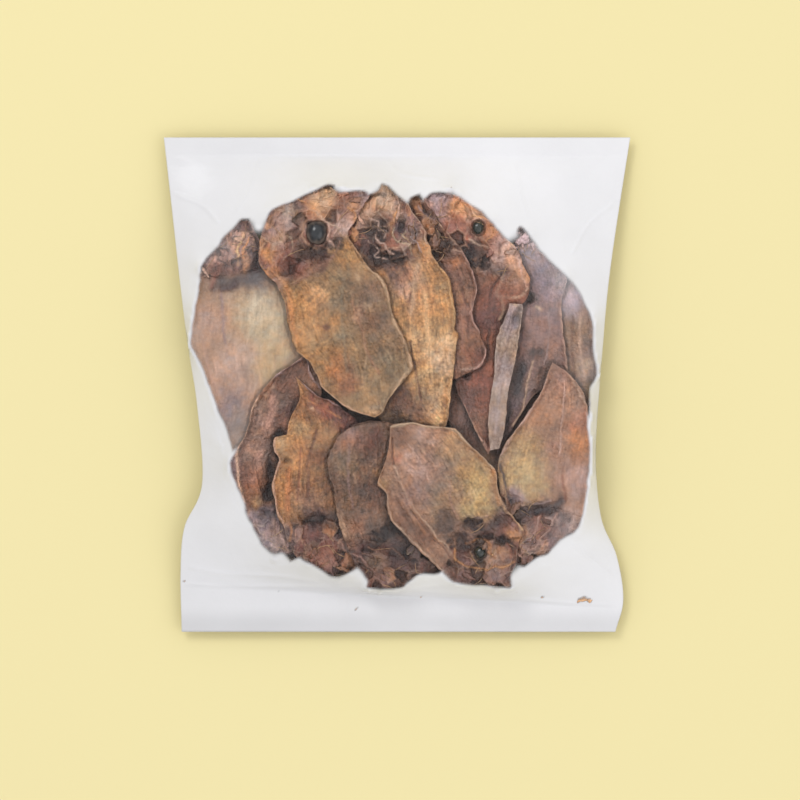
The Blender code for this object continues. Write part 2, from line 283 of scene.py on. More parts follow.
# Fish that show from above, from the deepest to the topmost. Edges run from tail to head, in mm; level
# is the height of the upper face at tail and head; neck is where the head starts on each edge, as a
# share of the length. A spot is x, y, radius, tone, strength; a line is width, height, tone, strength
# and its points.
frontFish = {
    "fishFarRight": {
        "left": [(96.5, -18), (89, -8), (84, 7), (79.5, 27), (77.5, 47), (81.5, 58)],
        "right": [(96.5, -18), (97, -9), (97, -2), (99.5, 2), (101, 7), (99, 15), (99, 28), (98, 34),
            (93, 44.5), (90, 49.5), (85, 55), (81.5, 58)],
        "level": (20, 18), "roll": 0.05, "neck": (1.3, 1.3), "body": "grey", "head": "mauve", "grit": 0.6,
        "tint": (1.12, 1.13, 1.2),
        "spots": [(94.7, 8, 5, "gold", 0.6), (92, 30, 9, "olive", 0.5), (98, 10, 3, "cream", 0.5),
            (86, 48, 8, "rimGrey", 0.8), (95, -8, 5, "paleGold", 0.5), (88, 46, 7, "lilacPale", 0.6),
            (84, 50, 4, "lilacPale", 0.6)],
        "lines": [(1.3, 0.7, "rim", 0.5, [(92, 36), (91.5, 20), (93.5, 4), (95, -10)]),
            (1.0, -0.5, "brown", 0.5, [(88, 34), (87.5, 18), (89, 2)])],
    },
    "fishRight": {
        "left": [(50, -35), (50.5, -23), (53, -3), (55.5, 22), (57.5, 42), (58.5, 60), (58.5, 72),
            (59.5, 78), (61.5, 80)],
        "right": [(50, -35), (59, -20), (69, -5), (79, 0), (85, 6), (84.5, 17), (83, 30), (82.5, 41),
            (85, 52), (81.5, 58), (77, 62), (69.5, 71.5), (64.5, 78), (61.5, 80)],
        "level": (23, 20), "roll": 0.0, "neck": (0.86, 0.86), "body": "mauve", "head": "grey", "grit": 0.6,
        "headTint": (1.65, 1.7, 1.75),
        "spots": [(65, 64, 10, "rimGrey", 0.8), (80, 56, 8, "rimGrey", 0.6), (62, 74, 5, "pinkTan", 0.5),
            (74, 20, 9, "pinkTan", 0.4), (76.4, 50, 6, "lilac", 0.8), (71.8, 57.5, 4, "slate", 0.6),
            # the small cream spot at 71, 37.6 is a painted highlight
            (79.4, 42, 3.5, "pinkTan", 0.8), (71, 37.6, 1.3, "cream", 0.9),
            (66.4, 42.2, 3.0, "greenBlack", 1.0), (61, 1, (3, 9), "slateDark", 0.8),
            (70, 14, 5, "brown", 0.6), (67, 34, 7, "pinkTan", 0.4), (63, 26, 4, "brown", 0.6),
            (70.3, 17, 2.5, "slateDark", 0.8), (64, 70, 7, "lilacPale", 0.6), (84, 50, 7, "lilacPale", 0.7),
            (70, 62, 5, "lilacPale", 0.4), (64, 70, 3, "lilacPale", 0.5), (66.5, 47, 3, "mauve", 0.5),
            (61.5, -1, (3, 6), "slateDark", 0.7)],
        "lines": [(1.3, 0.9, "rimPink", 0.9, [(83.3, 41.4), (82.5, 33.8), (84, 23), (84.8, 13), (86, 5)]),
            (0.7, 0.8, "rim", 0.8, [(68, 12), (65, 0), (63, -12), (58, -21)]),
            (3.4, -1.2, "slateDark", 0.95, [(63, 11), (60, -3), (57, -15), (53, -27)]),
            (1.0, -0.6, "brown", 0.6, [(73, 8), (70, -2), (64, -12)]),
            (0.8, 0.6, "rimGrey", 0.6, [(76, 36), (76, 24), (74, 10)])],
    },
    "fishUpperRight": {
        "left": [(45.5, -35), (39, -23), (33, -10), (29, 0), (26.5, 17), (25.5, 37), (24, 52), (19, 67),
            (14, 80), (12.5, 90), (16, 96), (21.5, 97)],
        "right": [(45.5, -35), (48, -28), (49, -13), (50.5, 3), (54, 20), (57.5, 35), (63.5, 41), (66, 46),
            (65.5, 53), (63, 59), (60.5, 66), (56.5, 72), (50, 79), (42, 87), (34.5, 92.5), (26.5, 96),
            (21.5, 97)],
        "level": (26.5, 23), "roll": -0.05, "neck": (0.68, 0.56), "body": "russet", "head": "russet",
        "grit": 0.8, "tint": (1.06, 1.05, 1.07), "headTint": (1.46, 1.6, 1.76),
        "eye": (40.5, 78.3, 3.6, 4.2, 1.0, 4),
        "spots": [(47, 34, 9, "maroon", 0.8), (44, 18, 7, "redBrown", 0.6), (40.4, 0, 6.5, "redBrown", 0.9),
            (34, 5, 3, "dark", 0.8), (42, -12, 6, "redBrown", 0.5), (41, -22, 6, "tan", 0.6),
            (23.6, 95.8, 5, "mauve", 0.8), (33.5, 88, 6.5, "amber", 0.85), (40, 85, 5, "tan", 0.7),
            (48, 77, 5, "amber", 0.6), (56, 67, 5, "tan", 0.8), (28.9, 81, 6, "redBrown", 0.6),
            (49, 70, 4, "redBrown", 0.6), (39, 65, (8, 5), "dark", 1.0), (61, 60, 4.5, "pinkTan", 0.8),
            (62, 50, 4, "tan", 0.7), (57, 50, 4, "tan", 0.6), (52, 70, 3, "pinkTan", 0.8),
            (51, 60, 3, "slateDark", 0.7), (43, 52, 5, "brown", 0.6), (22, 90, 5, "mauve", 0.6),
            (45, 82, 6, "redOrange", 0.4), (57, 62, 4, "tan", 0.6), (36.5, -8, 6, "brown", 0.7),
            (30, -4, (4, 9), "dark", 0.7), (21, 94, 5, "rimGrey", 0.6), (62, 56, 5, "amber", 0.4),
            (50, 62, 3, "rimPink", 0.5), (41, 70, 3, "dark", 0.7), (40.5, 78, (5, 6), "slateDark", 0.5),
            (44, 70, 3, "brown", 0.6), (16, 90, 4, "pinkTan", 0.5), (39, 85, 4, "rimPink", 0.8),
            (56.5, 67, 4, "rimPink", 0.5), (60, 63, 4, "tan", 0.5), (59, 50, 4, "pinkTan", 0.6),
            (36.5, -8, 6, "brown", 0.6), (45, 30, 8, "maroon", 0.4), (39, 85, 4, "amber", 0.55),
            (57, 66, (3, 6), "amber", 0.4), (56.5, 66, (3, 5), "rimPink", 0.35),
            (36.5, -8, (4, 6), "maroon", 0.5)],
        "lines": [(1.2, 1.2, "rim", 0.7, [(52.7, 54.5), (50.4, 45.3), (55, 43.7), (61.8, 44.5), (65, 48)]),
            (1.0, 1.0, "cream", 0.8, [(51.9, 42.2), (53.4, 37), (51.5, 33)]),
            (1.0, 0.9, "rimPink", 0.7, [(32.8, -10.4), (37.4, -20.3), (45, -31.8), (46.5, -35.6)]),
            (0.7, 0.8, "rim", 0.6, [(36, 73), (40, 70), (46, 68), (50, 66)]),
            (0.6, 0.9, "amber", 0.7, [(38, 84), (45, 82), (48, 76), (45, 71)]),
            (0.9, -0.7, "dark", 0.6, [(52, 56), (47, 46), (46, 30), (45, 12)]),
            (0.8, 0.6, "rimPink", 0.5, [(59.5, 64.4), (62.6, 55.2), (64.4, 47.6)])],
    },
    "paleStrip": {
        "left": [(46.5, -33), (45.5, -18.5), (46.5, -7), (48.5, 7), (50, 23), (55, 36), (56, 40.5)],
        "right": [(51, -32), (53.5, -22.5), (56, -3), (59, 11), (61.5, 27), (63, 37), (62.5, 40)],
        "level": (29.5, 25), "roll": 0.0, "neck": (1.3, 1.3), "body": "strip", "head": "grey", "grit": 0.55,
        "tint": (1.14, 1.23, 1.24),
        # the small cream spot at 58, 40 is a painted highlight
        "spots": [(57, 33, 5, "lilac", 0.4), (58, 40, 2, "cream", 0.8), (52, 10, 3, "rimGrey", 0.7),
            (49, -14, 4, "rimGrey", 0.7), (55.5, 18, 1.2, "slateDark", 0.5),
            (53, 13, 1.0, "slateDark", 0.5), (54, 7, 7, "rimGrey", 0.8), (49, -26, 6, "grey", 0.7)],
        "lines": [(1.1, 0.4, "rimGrey", 0.6, [(57, 34), (54, 15), (51, -5), (49, -24)])],
    },
    "fishSliver": {
        "left": [(33, 7), (26.5, 2), (19, 12), (16.5, 32), (14, 47), (9, 65), (5.5, 80), (5.5, 92),
            (8.5, 95), (11.5, 96)],
        "right": [(33, 7), (40.5, 8), (43.5, 12), (44.5, 17), (42, 24), (38.5, 31.5), (38, 38), (39.5, 46),
            (38.5, 54.5), (34, 64), (29, 71.5), (22.5, 79), (16, 88.5), (11.5, 96)],
        "level": (27.5, 24), "roll": -0.1, "neck": (0.62, 0.65), "body": "sliver", "head": "brown",
        "grit": 0.8, "tint": (1.0, 0.95, 1.14),
        "spots": [(29, 61, 3.5, "amber", 0.7), (35, 35, 7, "tan", 0.4), (22.8, 70.5, 4.5, "dark", 0.9),
            (22, 73, 1.8, "grey", 0.6), (38, 14, 4, "russet", 0.6), (31, 45, 6, "olive", 0.5),
            (18, 80, 4, "brown", 0.6), (40, 17, 5, "brown", 0.5), (26.5, 55, 4, "tan", 0.6),
            (21.5, 67, 3, "russet", 0.4)],
        "lines": [(0.9, 1.1, "rim", 0.9, [(35.1, 62.1), (38.9, 54.5), (40, 46), (38.1, 38.4), (37, 35.3),
                (38.9, 30.7), (42.7, 24.6), (44.6, 17), (42.7, 11.6), (38.1, 7)]),
            (0.6, 0.8, "rim", 0.8, [(20.5, 81.2), (26.6, 75.1), (30.5, 69), (35, 62)]),
            (0.7, 0.6, "rimGrey", 0.7, [(9.8, 89), (18.2, 82)]),
            (0.9, 0.5, "cream", 0.8, [(32.4, 7.4), (38.1, 7.4)]),
            (0.8, -0.5, "brown", 0.7, [(30, 56), (34.5, 40), (36, 22)]),
            (0.7, 0.4, "tan", 0.5, [(28, 50), (31.5, 36), (33, 16)])],
    },
    "fishFarLeft": {
        "left": [(-82.5, -34), (-86, -22), (-89, -15.5), (-96.5, 4), (-101, 14), (-104, 20), (-103.5, 27),
            (-101.5, 40), (-99.5, 51), (-98.5, 60), (-92, 67), (-86, 75), (-80, 81), (-77.5, 83.5),
            (-73.5, 83.5)],
        "right": [(-82.5, -34), (-73.5, -28), (-61, -18), (-48.5, 2), (-44.5, 22), (-46.5, 42), (-54.5, 57),
            (-63.5, 67), (-69.5, 74), (-73.5, 83.5)],
        "level": (23, 20), "roll": -0.07, "neck": (0.68, 0.79), "body": "tan", "head": "mauve", "grit": 0.3,
        "tint": (1.18, 1.35, 1.42), "headTint": (1.35, 1.38, 1.42),
        "spots": [(-66, 32, 13, "paleGreen", 0.65), (-66, 34, 9, "cream", 0.3), (-72, 40, 7, "cream", 0.5),
            (-92, 34, 10, "pinkTan", 0.7), (-80, 6, 13, "pinkTan", 0.6), (-86, -16, 9, "mauve", 0.6),
            (-77, -24, 7, "grey", 0.5), (-76, 6, 2.5, "brown", 0.5), (-90, 57, 5, "redBrown", 0.6),
            (-87, 66, 5, "purpleBrown", 0.5), (-77, 57, 5, "purpleBrown", 0.8), (-70, 62, 5, "dark", 0.7),
            (-62, 10, 9, "paleGold", 0.5), (-84, 75, 3, "pinkTan", 0.6), (-76, 80, 4, "russet", 0.5),
            (-95, 14, 6, "tan", 0.4), (-81, 12, 7, "rimPink", 0.35), (-78, 62, 4, "pinkTan", 0.7),
            (-91, 61, 4, "mauve", 0.5), (-83, 68, 4, "rimGrey", 0.4), (-88, 62, 5, "pinkTan", 0.5),
            (-80, 72, 4, "rimPink", 0.4), (-70, 68, (3, 6), "brown", 0.6),
            (-83, 51, (7, 4), "slateDark", 0.55), (-74, 56, (6, 6), "slateDark", 0.6),
            (-68, 58, (4, 7), "slateDark", 0.5), (-87, 58, (6, 3), "redBrown", 0.5),
            (-66, 50, (5, 4), "brown", 0.5), (-84, -12, 9, "mauve", 0.5), (-80, -20, 6, "grey", 0.5),
            (-78, 50, (8, 3), "slateDark", 0.4), (-84, 52, (9, 5), "slateDark", 0.6),
            (-70, 54, (7, 6), "slateDark", 0.6), (-91, 61, 3, "rimGrey", 0.4),
            (-78.5, 62, (2, 5), "amber", 0.5), (-81, -18, 5, "grey", 0.4)],
        "lines": [(0.9, 0.7, "amberLight", 1.0, [(-77.9, 75), (-79, 67.5), (-79.8, 60.2)]),
            (0.7, 0.5, "amber", 0.9, [(-74.5, 72.8), (-75.6, 67.5), (-77, 64.4)]),
            (1.1, -0.4, "mauve", 0.6, [(-87.8, 46.8), (-87.5, 38.4), (-87, 28), (-85, 14)]),
            (1.5, 0.4, "redBrown", 0.6, [(-89.4, 57.5), (-93, 49)]),
            (2.6, -1.4, "purpleBrown", 0.8, [(-90.9, 47.6), (-83.3, 49), (-76.4, 53.7), (-70, 58.3),
                (-68.7, 67.5)]),
            (1.4, 0.5, "pinkTan", 0.5, [(-98, 30), (-95, 10), (-88, -8)])],
    },
    "fishLowerFarLeft": {
        "left": [(-46, 15), (-41.5, 10), (-37.5, 0), (-39.5, -18), (-42.5, -38), (-42.5, -58), (-43.5, -75),
            (-47, -85), (-53.5, -89.5)],
        "right": [(-46, 15), (-51, 11), (-59, 6), (-62.5, 2.5), (-67.5, -3), (-71.5, -9.5), (-73.5, -16.5),
            (-76, -25), (-79, -31), (-83, -37), (-84, -40.5), (-81.5, -49), (-77.5, -58), (-76, -65.5),
            (-72, -72.5), (-67.5, -80.5), (-62.5, -85), (-57, -85), (-53.5, -89.5)],
        "level": (27.5, 20), "roll": -0.02, "neck": (0.7, 0.69), "body": "brown", "head": "mauve",
        "grit": 0.9, "tint": (1.42, 1.4, 1.43), "headTint": (1.1, 1.18, 1.32), "ridge": (-0.45, 0.8),
        "spots": [(-68, -20, 6, "greyOlive", 0.7), (-69, -33, 7, "greyOlive", 0.6),
            (-82, -42, 4, "slate", 0.7), (-56, -35, 7, "dark", 0.95), (-62, -52, 6, "dark", 0.95),
            (-56, -12, 6, "purpleBrown", 0.8), (-66, -66, 5, "slateDark", 0.6), (-58.8, -77, 5, "tan", 0.6),
            (-53.4, -84, 3, "mauve", 0.6), (-70.3, -57.8, 2.5, "gold", 0.6), (-66, 0, 4, "tan", 0.5),
            (-72, -48, 5, "russet", 0.4), (-66, -18, 5, "pinkTan", 0.6), (-71, -30, 4, "pinkTan", 0.4),
            (-58.5, -18, 4, "brown", 0.5), (-60, -6, 5, "greyOlive", 0.5), (-66, -12, 5, "greyOlive", 0.5)],
        "lines": [(0.9, 1.0, "rim", 0.85, [(-62.6, 3.4), (-67.2, -1.2), (-71, -9.6), (-74.8, -16.5),
                (-75.6, -23.4), (-78.7, -29.5), (-80.2, -35.6), (-79.8, -42.5), (-77.9, -52.4),
                (-76.4, -59.3)]),
            (2.6, 0.4, "pinkTan", 0.7, [(-61.5, -6), (-64, -20), (-68.7, -35.6), (-72, -47)]),
            (3.2, -1.8, "dark", 0.95, [(-59, -24), (-61, -30), (-63.4, -38.7), (-64, -48), (-65.7, -57)]),
            (0.7, 0.8, "rimGrey", 0.8, [(-45.8, 14), (-54.9, 8.2), (-62.6, 3.5)]),
            (0.6, 0.8, "rimGrey", 0.7, [(-45, 12.4), (-42.7, 4), (-38.1, -2.2)]),
            (0.8, 0.8, "rimPink", 0.5, [(-62, -70), (-58, -74), (-56, -80)])],
    },
    "fishLowerRight": {
        "left": [(77.5, 11), (81.5, 8.5), (86.5, 5), (90.5, 0), (94.5, -8), (96, -20), (97, -37), (96, -48),
            (94.5, -61), (90.5, -73), (81.5, -79), (76, -85.5), (72, -87), (63.5, -92)],
        "right": [(77.5, 11), (75, 5), (72, -3.5), (63, -17), (54.5, -29), (51, -35.5), (50, -43.5),
            (51, -53), (54, -63), (56.5, -73), (57.5, -83), (60, -90), (63.5, -92)],
        "level": (28, 21.5), "roll": -0.04, "neck": (0.68, 0.65), "body": "tan", "head": "russet",
        "grit": 0.5, "tint": (1.0, 1.06, 1.13), "headTint": (1.2, 1.35, 1.5), "ridge": (0.35, 0.5),
        "spots": [(61, -43, 10, "yellow", 0.95), (66, -52, 7, "yellow", 0.7), (72, -46, 6, "yellow", 0.5),
            (63, -29, 8, "gold", 0.9), (91, -18, 6, "redOrange", 0.4), (92, -29.5, 6, "orange", 0.6),
            (75.6, -33.3, 4, "pinkTan", 0.8), (78.7, 2, 6, "pinkTan", 0.5), (91, -47, 8, "pinkTan", 0.9),
            (90, -62, 6, "tan", 0.7), (71, -62.5, (8, 3.5), "dark", 0.75), (81, -66.2, 4, "pinkTan", 0.6),
            (77, -74, 4, "slateDark", 0.6), (70, -14, 6, "orange", 0.4), (60, -55, 4, "lilac", 0.6),
            (84, -76, 4, "redBrown", 0.5), (68, -84, 5, "tan", 0.5), (80, -60, (3, 7), "slateDark", 0.5),
            (84, -70, 5, "maroon", 0.5), (76, -42, 5, "mauve", 0.4), (88, -66, 6, "rimPink", 0.6),
            (80, -78, 4, "pinkTan", 0.5), (66, -72, 4, "pinkTan", 0.5), (91, -48, 7, "rimPink", 0.4),
            (64, -68, (5, 4), "slateDark", 0.6), (93, -30, 6, "orange", 0.5), (80, 5, 4, "pinkTan", 0.5),
            (61.5, -35, 6, "paleGold", 0.35)],
        "lines": [(0.9, 0.9, "rimPink", 0.7, [(83.3, 0.4), (83.3, -8), (81.7, -21.8), (81, -35.6)]),
            (1.2, 0.8, "rimPink", 0.9, [(74, 2.7), (69.5, -8), (64, -16.5), (56.5, -27), (52, -35)]),
            (0.9, 0.8, "rim", 0.8, [(86.3, 4.2), (90, -1.9), (93.8, -9.6)]),
            (2.6, -1.5, "slateDark", 0.7, [(58, -58.6), (68, -63.5), (77, -61.6), (83, -57.8)]),
            (1.1, 0.9, "rimGrey", 0.35, [(56.5, -53.2), (63.4, -57), (70.3, -59.3), (77, -58.4)]),
            (1.0, -0.6, "slateDark", 0.8, [(51.4, -40), (53, -46.3), (55.7, -55.5), (57.2, -59.3)]),
            (1.0, 1.1, "pinkTan", 0.7, [(71, -66.2), (67.2, -77), (61, -84.6)]),
            (1.0, 1.1, "pinkTan", 0.7, [(80.2, -64.7), (74.9, -73), (67.2, -83)]),
            (0.9, 1.0, "rimPink", 0.6, [(88.6, -66.2), (86.3, -74), (79.4, -79.2)]),
            (0.8, -0.4, "russet", 0.6, [(83, -38), (82.5, -48), (84, -57)])],
    },
    "fishUpperMiddle": {
        "left": [(21.5, -24), (9, -24), (-6, -20), (-13.5, -3), (-17.5, 22), (-21, 47), (-26, 67),
            (-26, 80), (-22.5, 90), (-14.5, 95), (-9.5, 97), (-8, 101), (-4, 100)],
        "right": [(21.5, -24), (24.5, -20), (26.5, -9.5), (28, 3), (29.5, 17), (30.5, 25), (29, 28),
            (29.5, 37), (27.5, 46), (25.5, 53.5), (19, 62.5), (16, 70), (14, 77), (9.5, 84), (4.5, 91),
            (-0.5, 96), (-4, 100)],
        "level": (29.5, 25), "roll": -0.08, "neck": (0.64, 0.68), "body": "fibreGold", "head": "russet",
        "grit": 1.0, "tint": (1.12, 1.08, 1.08), "headTint": (1.2, 1.35, 1.45),
        # the pale gold spots and lines on this fish's right side are a painted highlight, partly pale fibres
        "spots": [(26, 22, 4.5, "bright", 1.0), (18, 0, 8, "paleGold", 0.5), (3, 56, 8, "pinkTan", 0.7),
            (15.5, 42, 6, "amber", 0.45), (21, 45, 5, "paleGold", 0.6), (0, -6, 9, "purpleBrown", 0.8),
            (8, -14, 6, "brown", 0.8), (13.6, 67.5, 4.5, "amber", 0.9), (-7, 99, 4, "paleGold", 0.8),
            (2.2, 79.7, (2.4, 5), "greenBlack", 1.0), (-10.8, 78, 6.5, "dark", 0.9),
            (-4, 63, (9, 4), "dark", 1.0), (-9, 59, (6, 3), "brown", 0.9),
            (8.3, 73.6, 3.5, "purpleBrown", 0.7), (-16, 87, 5, "amber", 0.8), (-6, 92, 5, "amber", 0.6),
            (-1, 90, 5, "rimPink", 0.6), (24, 8, 5, "cream", 0.5), (20, -18, 4, "bright", 0.5),
            (10, 10, 3, "brown", 0.6), (5.5, 47, 5, "rimPink", 0.5), (14, 22, 7, "bright", 0.35),
            (23, 14, 5, "cream", 0.6), (-12, 67, (5, 4), "dark", 0.9), (-1, -18, 6, "dark", 0.75),
            (-15, 85, 4, "rimPink", 0.5), (-6, 93, 4, "rimPink", 0.6), (6, 88, 3, "redBrown", 0.6),
            (21, 32, 7, "paleGold", 0.5), (23, 14, 6, "cream", 0.4), (12, 3, 6, "paleGold", 0.5),
            (19, -8, 6, "cream", 0.5), (1.5, -8, 5, "brown", 0.5), (-2, 58, (8, 4), "brown", 0.6),
            (1.5, 75, 3, "purpleBrown", 0.5), (1.5, 85, 3.5, "rimPink", 0.5), (-6, 92, 4, "paleGold", 0.5),
            (-1, 58, (5, 3.5), "purpleBrown", 0.6), (1.5, -8, 5, "brown", 0.5),
            (1.5, 75, 3, "purpleBrown", 0.4), (-12.5, 67, 4, "maroon", 0.5), (-6, 92, 3, "rimPink", 0.5),
            (23, 15, 5, "bright", 0.3)],
        "lines": [(1.2, 0.9, "paleGold", 0.8, [(18.2, 63.5), (24.3, 54.5), (26.6, 46), (28.4, 37),
                (28.6, 30)]),
            (1.0, 0.6, "bright", 0.6, [(29.4, 23), (28.4, 10), (26.6, -4), (24.5, -14)]),
            (0.6, 1.0, "rim", 0.9, [(4.5, 92), (9.4, 83.5), (13.6, 76.6), (15.4, 70.5)]),
            (1.0, 0.9, "amber", 0.8, [(1.4, 86.6), (-2, 80.5), (-2.8, 76.6), (-1.3, 72.8)]),
            (0.45, 1.0, "rimPink", 0.9, [(-10.8, 75), (-9, 71), (-6.3, 70), (-5.5, 66.5), (-2.2, 65)]),
            (0.45, 1.0, "cream", 0.9, [(-1, 78), (-2, 73.6), (4.5, 69), (7.5, 65.2)]),
            (0.45, 1.0, "rimPink", 0.8, [(-13.9, 83), (-10, 81), (-9.5, 77.5), (-6, 77), (-6.5, 73)]),
            (0.4, 0.8, "rimPink", 0.8, [(-14, 72), (-10, 68), (-11, 64), (-6, 63)]),
            (0.4, 0.8, "rimGrey", 0.8, [(7, 80), (9, 76), (6.5, 73), (10, 70), (12, 66)]),
            (0.45, 1.0, "cream", 0.8, [(4.5, 76.6), (2.9, 73.6), (6.7, 67.5)]),
            (1.8, 0.3, "cream", 0.6, [(10.6, 60), (8.3, 49), (7.5, 38.4), (7.5, 30)]),
            (0.9, -0.4, "brown", 0.8, [(7, 46), (5.5, 36), (6, 26), (9, 8), (12, -8)]),
            (1.6, 0.3, "bright", 0.6, [(14, 44), (15, 30), (16.5, 14), (18, -6)]),
            (0.7, -0.3, "olive", 0.6, [(19, 56), (22, 40), (23, 26)]),
            (0.8, 0.3, "bright", 0.5, [(22, 20), (22, 4), (21, -14)])],
    },
    "fishLowerLeft": {
        "left": [(-50.5, 4), (-46, 0), (-38.5, -6), (-31, -9), (-23.5, -15), (-19.5, -19), (-15.5, -33),
            (-13.5, -53), (-14.5, -73), (-17.5, -88), (-23.5, -95), (-31, -97)],
        "right": [(-50.5, 4), (-48.5, -5.5), (-52, -14), (-54.5, -19.5), (-55.5, -26), (-61, -26.5),
            (-61.5, -33), (-59, -37.5), (-61, -44), (-62.5, -51.5), (-61, -58), (-59.5, -65.5),
            (-56.5, -71), (-55, -78), (-50, -86), (-41.5, -91), (-34.5, -96), (-31, -97)],
        "level": (28.5, 21.5), "roll": -0.05, "neck": (0.62, 0.67), "body": "gold", "head": "purpleBrown",
        "grit": 0.85, "tint": (1.06, 1.02, 1.06),
        "spots": [(-36, -9, 10, "redBrown", 0.95), (-25, -17, 7, "redBrown", 0.9),
            (-48, -28, 9, "gold", 0.7), (-57, -30, 4, "paleGold", 0.7), (-52, -20, 4, "paleGold", 0.5),
            (-39, -36, 7, "brown", 0.8), (-30, -50, 9, "brown", 0.8), (-55.3, -38, 1.8, "dark", 0.9),
            (-50, -50, 5, "orange", 0.5), (-42, -66, (9, 6), "purpleBrown", 0.95),
            (-26, -15, 6, "maroon", 0.8), (-33, -88, 6, "redBrown", 0.6), (-39.6, -87, 5, "redBrown", 0.7),
            # the small cream spot at -42.7, -12.6 is a painted highlight
            (-32, -92, 4, "mauve", 0.6), (-42.7, -12.6, 1.3, "cream", 0.9), (-47, -60, 5, "tan", 0.5),
            (-52, -76, 4, "mauve", 0.5), (-48.5, -24, 5, "paleGold", 0.6), (-45, -54, 7, "brown", 0.5),
            (-25, -16, 7, "maroon", 0.7), (-47, -40, 5, "amber", 0.4), (-26, -15, 6, "maroon", 0.6),
            (-33, -88, 4, "pinkTan", 0.6), (-51, -40, 5, "gold", 0.4)],
        "lines": [(1.0, 1.0, "rim", 0.85, [(-54.6, -17), (-55.5, -23.4), (-60.5, -26.6), (-61.2, -32.5),
                (-58.8, -37.1), (-59.5, -41.7), (-61.8, -48), (-61, -57.8), (-59, -65.4), (-55.7, -72)]),
            (1.6, 0.4, "orange", 0.7, [(-53.4, -42.5), (-54.9, -54), (-54.5, -66)]),
            (0.5, 0.6, "rimGrey", 0.8, [(-50.4, 3.6), (-43.5, -2.7), (-37.4, -6.5), (-28, -11)]),
            (0.7, 0.4, "amber", 0.5, [(-44, -8), (-36, -12), (-28, -17)]),
            (1.0, -0.6, "brown", 0.7, [(-40, -22), (-44, -36), (-44, -52), (-46, -64)]),
            (0.6, -0.3, "russet", 0.6, [(-48, -32), (-49, -44), (-50, -58)]),
            (0.9, 0.9, "pinkTan", 0.5, [(-46, -70), (-44, -80), (-38, -90)]),
            (0.8, 0.7, "amber", 0.5, [(-55, -66), (-52, -72), (-53, -78)])],
    },
    "fishTop": {
        "left": [(-11, -16.5), (-23, -13), (-29, -8.5), (-37, -2), (-40, 5), (-43.5, 11), (-50, 17),
            (-54.5, 29), (-56.5, 42), (-61.5, 51), (-68.5, 61), (-69, 71), (-64, 86), (-51.5, 92.5),
            (-39.5, 98.5), (-34.5, 100.5), (-30.5, 100)],
        "right": [(-11, -16.5), (-7.5, -14), (-5, -9), (-1, -3.5), (6, 5), (8, 9.5), (5.5, 18.5), (2, 27),
            (-2, 35), (-3, 40.5), (-4.5, 48), (-8.5, 54.5), (-12.5, 57), (-18, 64), (-23.5, 73),
            (-22.5, 78), (-19.5, 84), (-15.5, 90), (-13, 95.5), (-19, 97.5), (-29.5, 96.5), (-30.5, 100)],
        "level": (32, 26), "roll": 0.0, "neck": (0.51, 0.685), "body": "olive", "head": "russet",
        "grit": 0.7, "tint": (1.08, 1.06, 1.03), "headTint": (1.2, 1.32, 1.42),
        "eye": (-40, 75.8, 5.4, 6.2, 0.35, 1), "ridge": (0.08, 0.3), "chevrons": 0.7,
        "spots": [(-49, 38, 9, "gold", 0.9), (-33, 31, 6, "gold", 0.8), (-31, 10, 6, "orange", 0.8),
            (-27, 0, 5, "gold", 0.5), (-41, 14, 8, "gold", 0.7), (-28, 27, 4.5, "greenGrey", 0.8),
            (-27, 43, 5, "greenGrey", 0.7), (-13, 46, 7, "greyOlive", 0.7), (-7.5, 30, 7, "greyOlive", 0.7),
            (-1.4, 9, 7, "greenOlive", 0.7), (-14, -4, 9, "olive", 0.5), (-14, 32, 9, "brown", 0.6),
            (-8, 16, 6, "brown", 0.4), (-10, 50, 5, "brown", 0.4), (-20, 42, 6, "brown", 0.5),
            (-26, 2, 5, "russet", 0.5), (-12, -13, 4, "cream", 0.6), (-21, 53.7, 2, "cream", 0.6),
            (-13, 38.4, 2.5, "cream", 0.6), (-20, 35, 4, "pinkTan", 0.6), (-36.5, 29, 1.7, "brown", 0.95),
            (-25, 10, 2, "brown", 0.8), (-25.5, 66, 5, "gold", 0.9), (-38, 92, 7, "tan", 0.5),
            (-35, 92.5, 3, "amberLight", 0.9), (-40, 90, 3.5, "amber", 0.7),
            (-32, 89.7, 3.5, "redBrown", 0.7), (-50.4, 86, 4, "greenOlive", 0.7),
            (-56.5, 84.3, 2.5, "cream", 0.7), (-61, 82, 4, "mauve", 0.6), (-62.6, 67.5, 3, "amber", 0.9),
            (-56, 72, 3, "cream", 0.5), (-55, 61.3, 5, "redBrown", 0.8), (-42, 66, (9, 4), "dark", 0.95),
            (-35, 62.5, (5, 2.6), "dark", 0.8), (-47, 66, 4, "brown", 0.8), (-30, 71, 4, "dark", 0.8),
            (-26, 80, 4.5, "pinkTan", 0.8), (-58, 78, 6, "tan", 0.5), (-20, 88, 5, "pinkTan", 0.6),
            (-18, 95, 4, "mauve", 0.6), (-50, 58, 4, "redBrown", 0.9), (-25, 80, 5, "rimPink", 0.8),
            (-56, 80, 4, "rimPink", 0.5), (-40, 42, 6, "amber", 0.4), (-43, 22, 6, "amber", 0.3),
            (-48, 90, 4, "mauve", 0.5), (-23, 90, 3, "amber", 0.6), (-44, 78, 2.5, "rimPink", 0.5),
            (-33, 74, 2.5, "pinkTan", 0.7), (-36, 92, 5, "amberLight", 0.6),
            (-36, 60, (6, 3), "brown", 0.7), (-22, 34, (5, 14), "greenOlive", 0.4),
            (-42, 60, 4, "maroon", 0.5), (-50, 58, 5, "redBrown", 0.5), (-28, 56, 5, "greenOlive", 0.4),
            (-4, 4, 8, "greenGrey", 0.3), (-12, 18, 8, "greenGrey", 0.25), (-1, 10, 5, "greenGrey", 0.4),
            (-39.5, 42, 6, "paleGreen", 0.3), (-43.5, 22, 5, "paleGold", 0.4), (-26, 2, 5, "russet", 0.35),
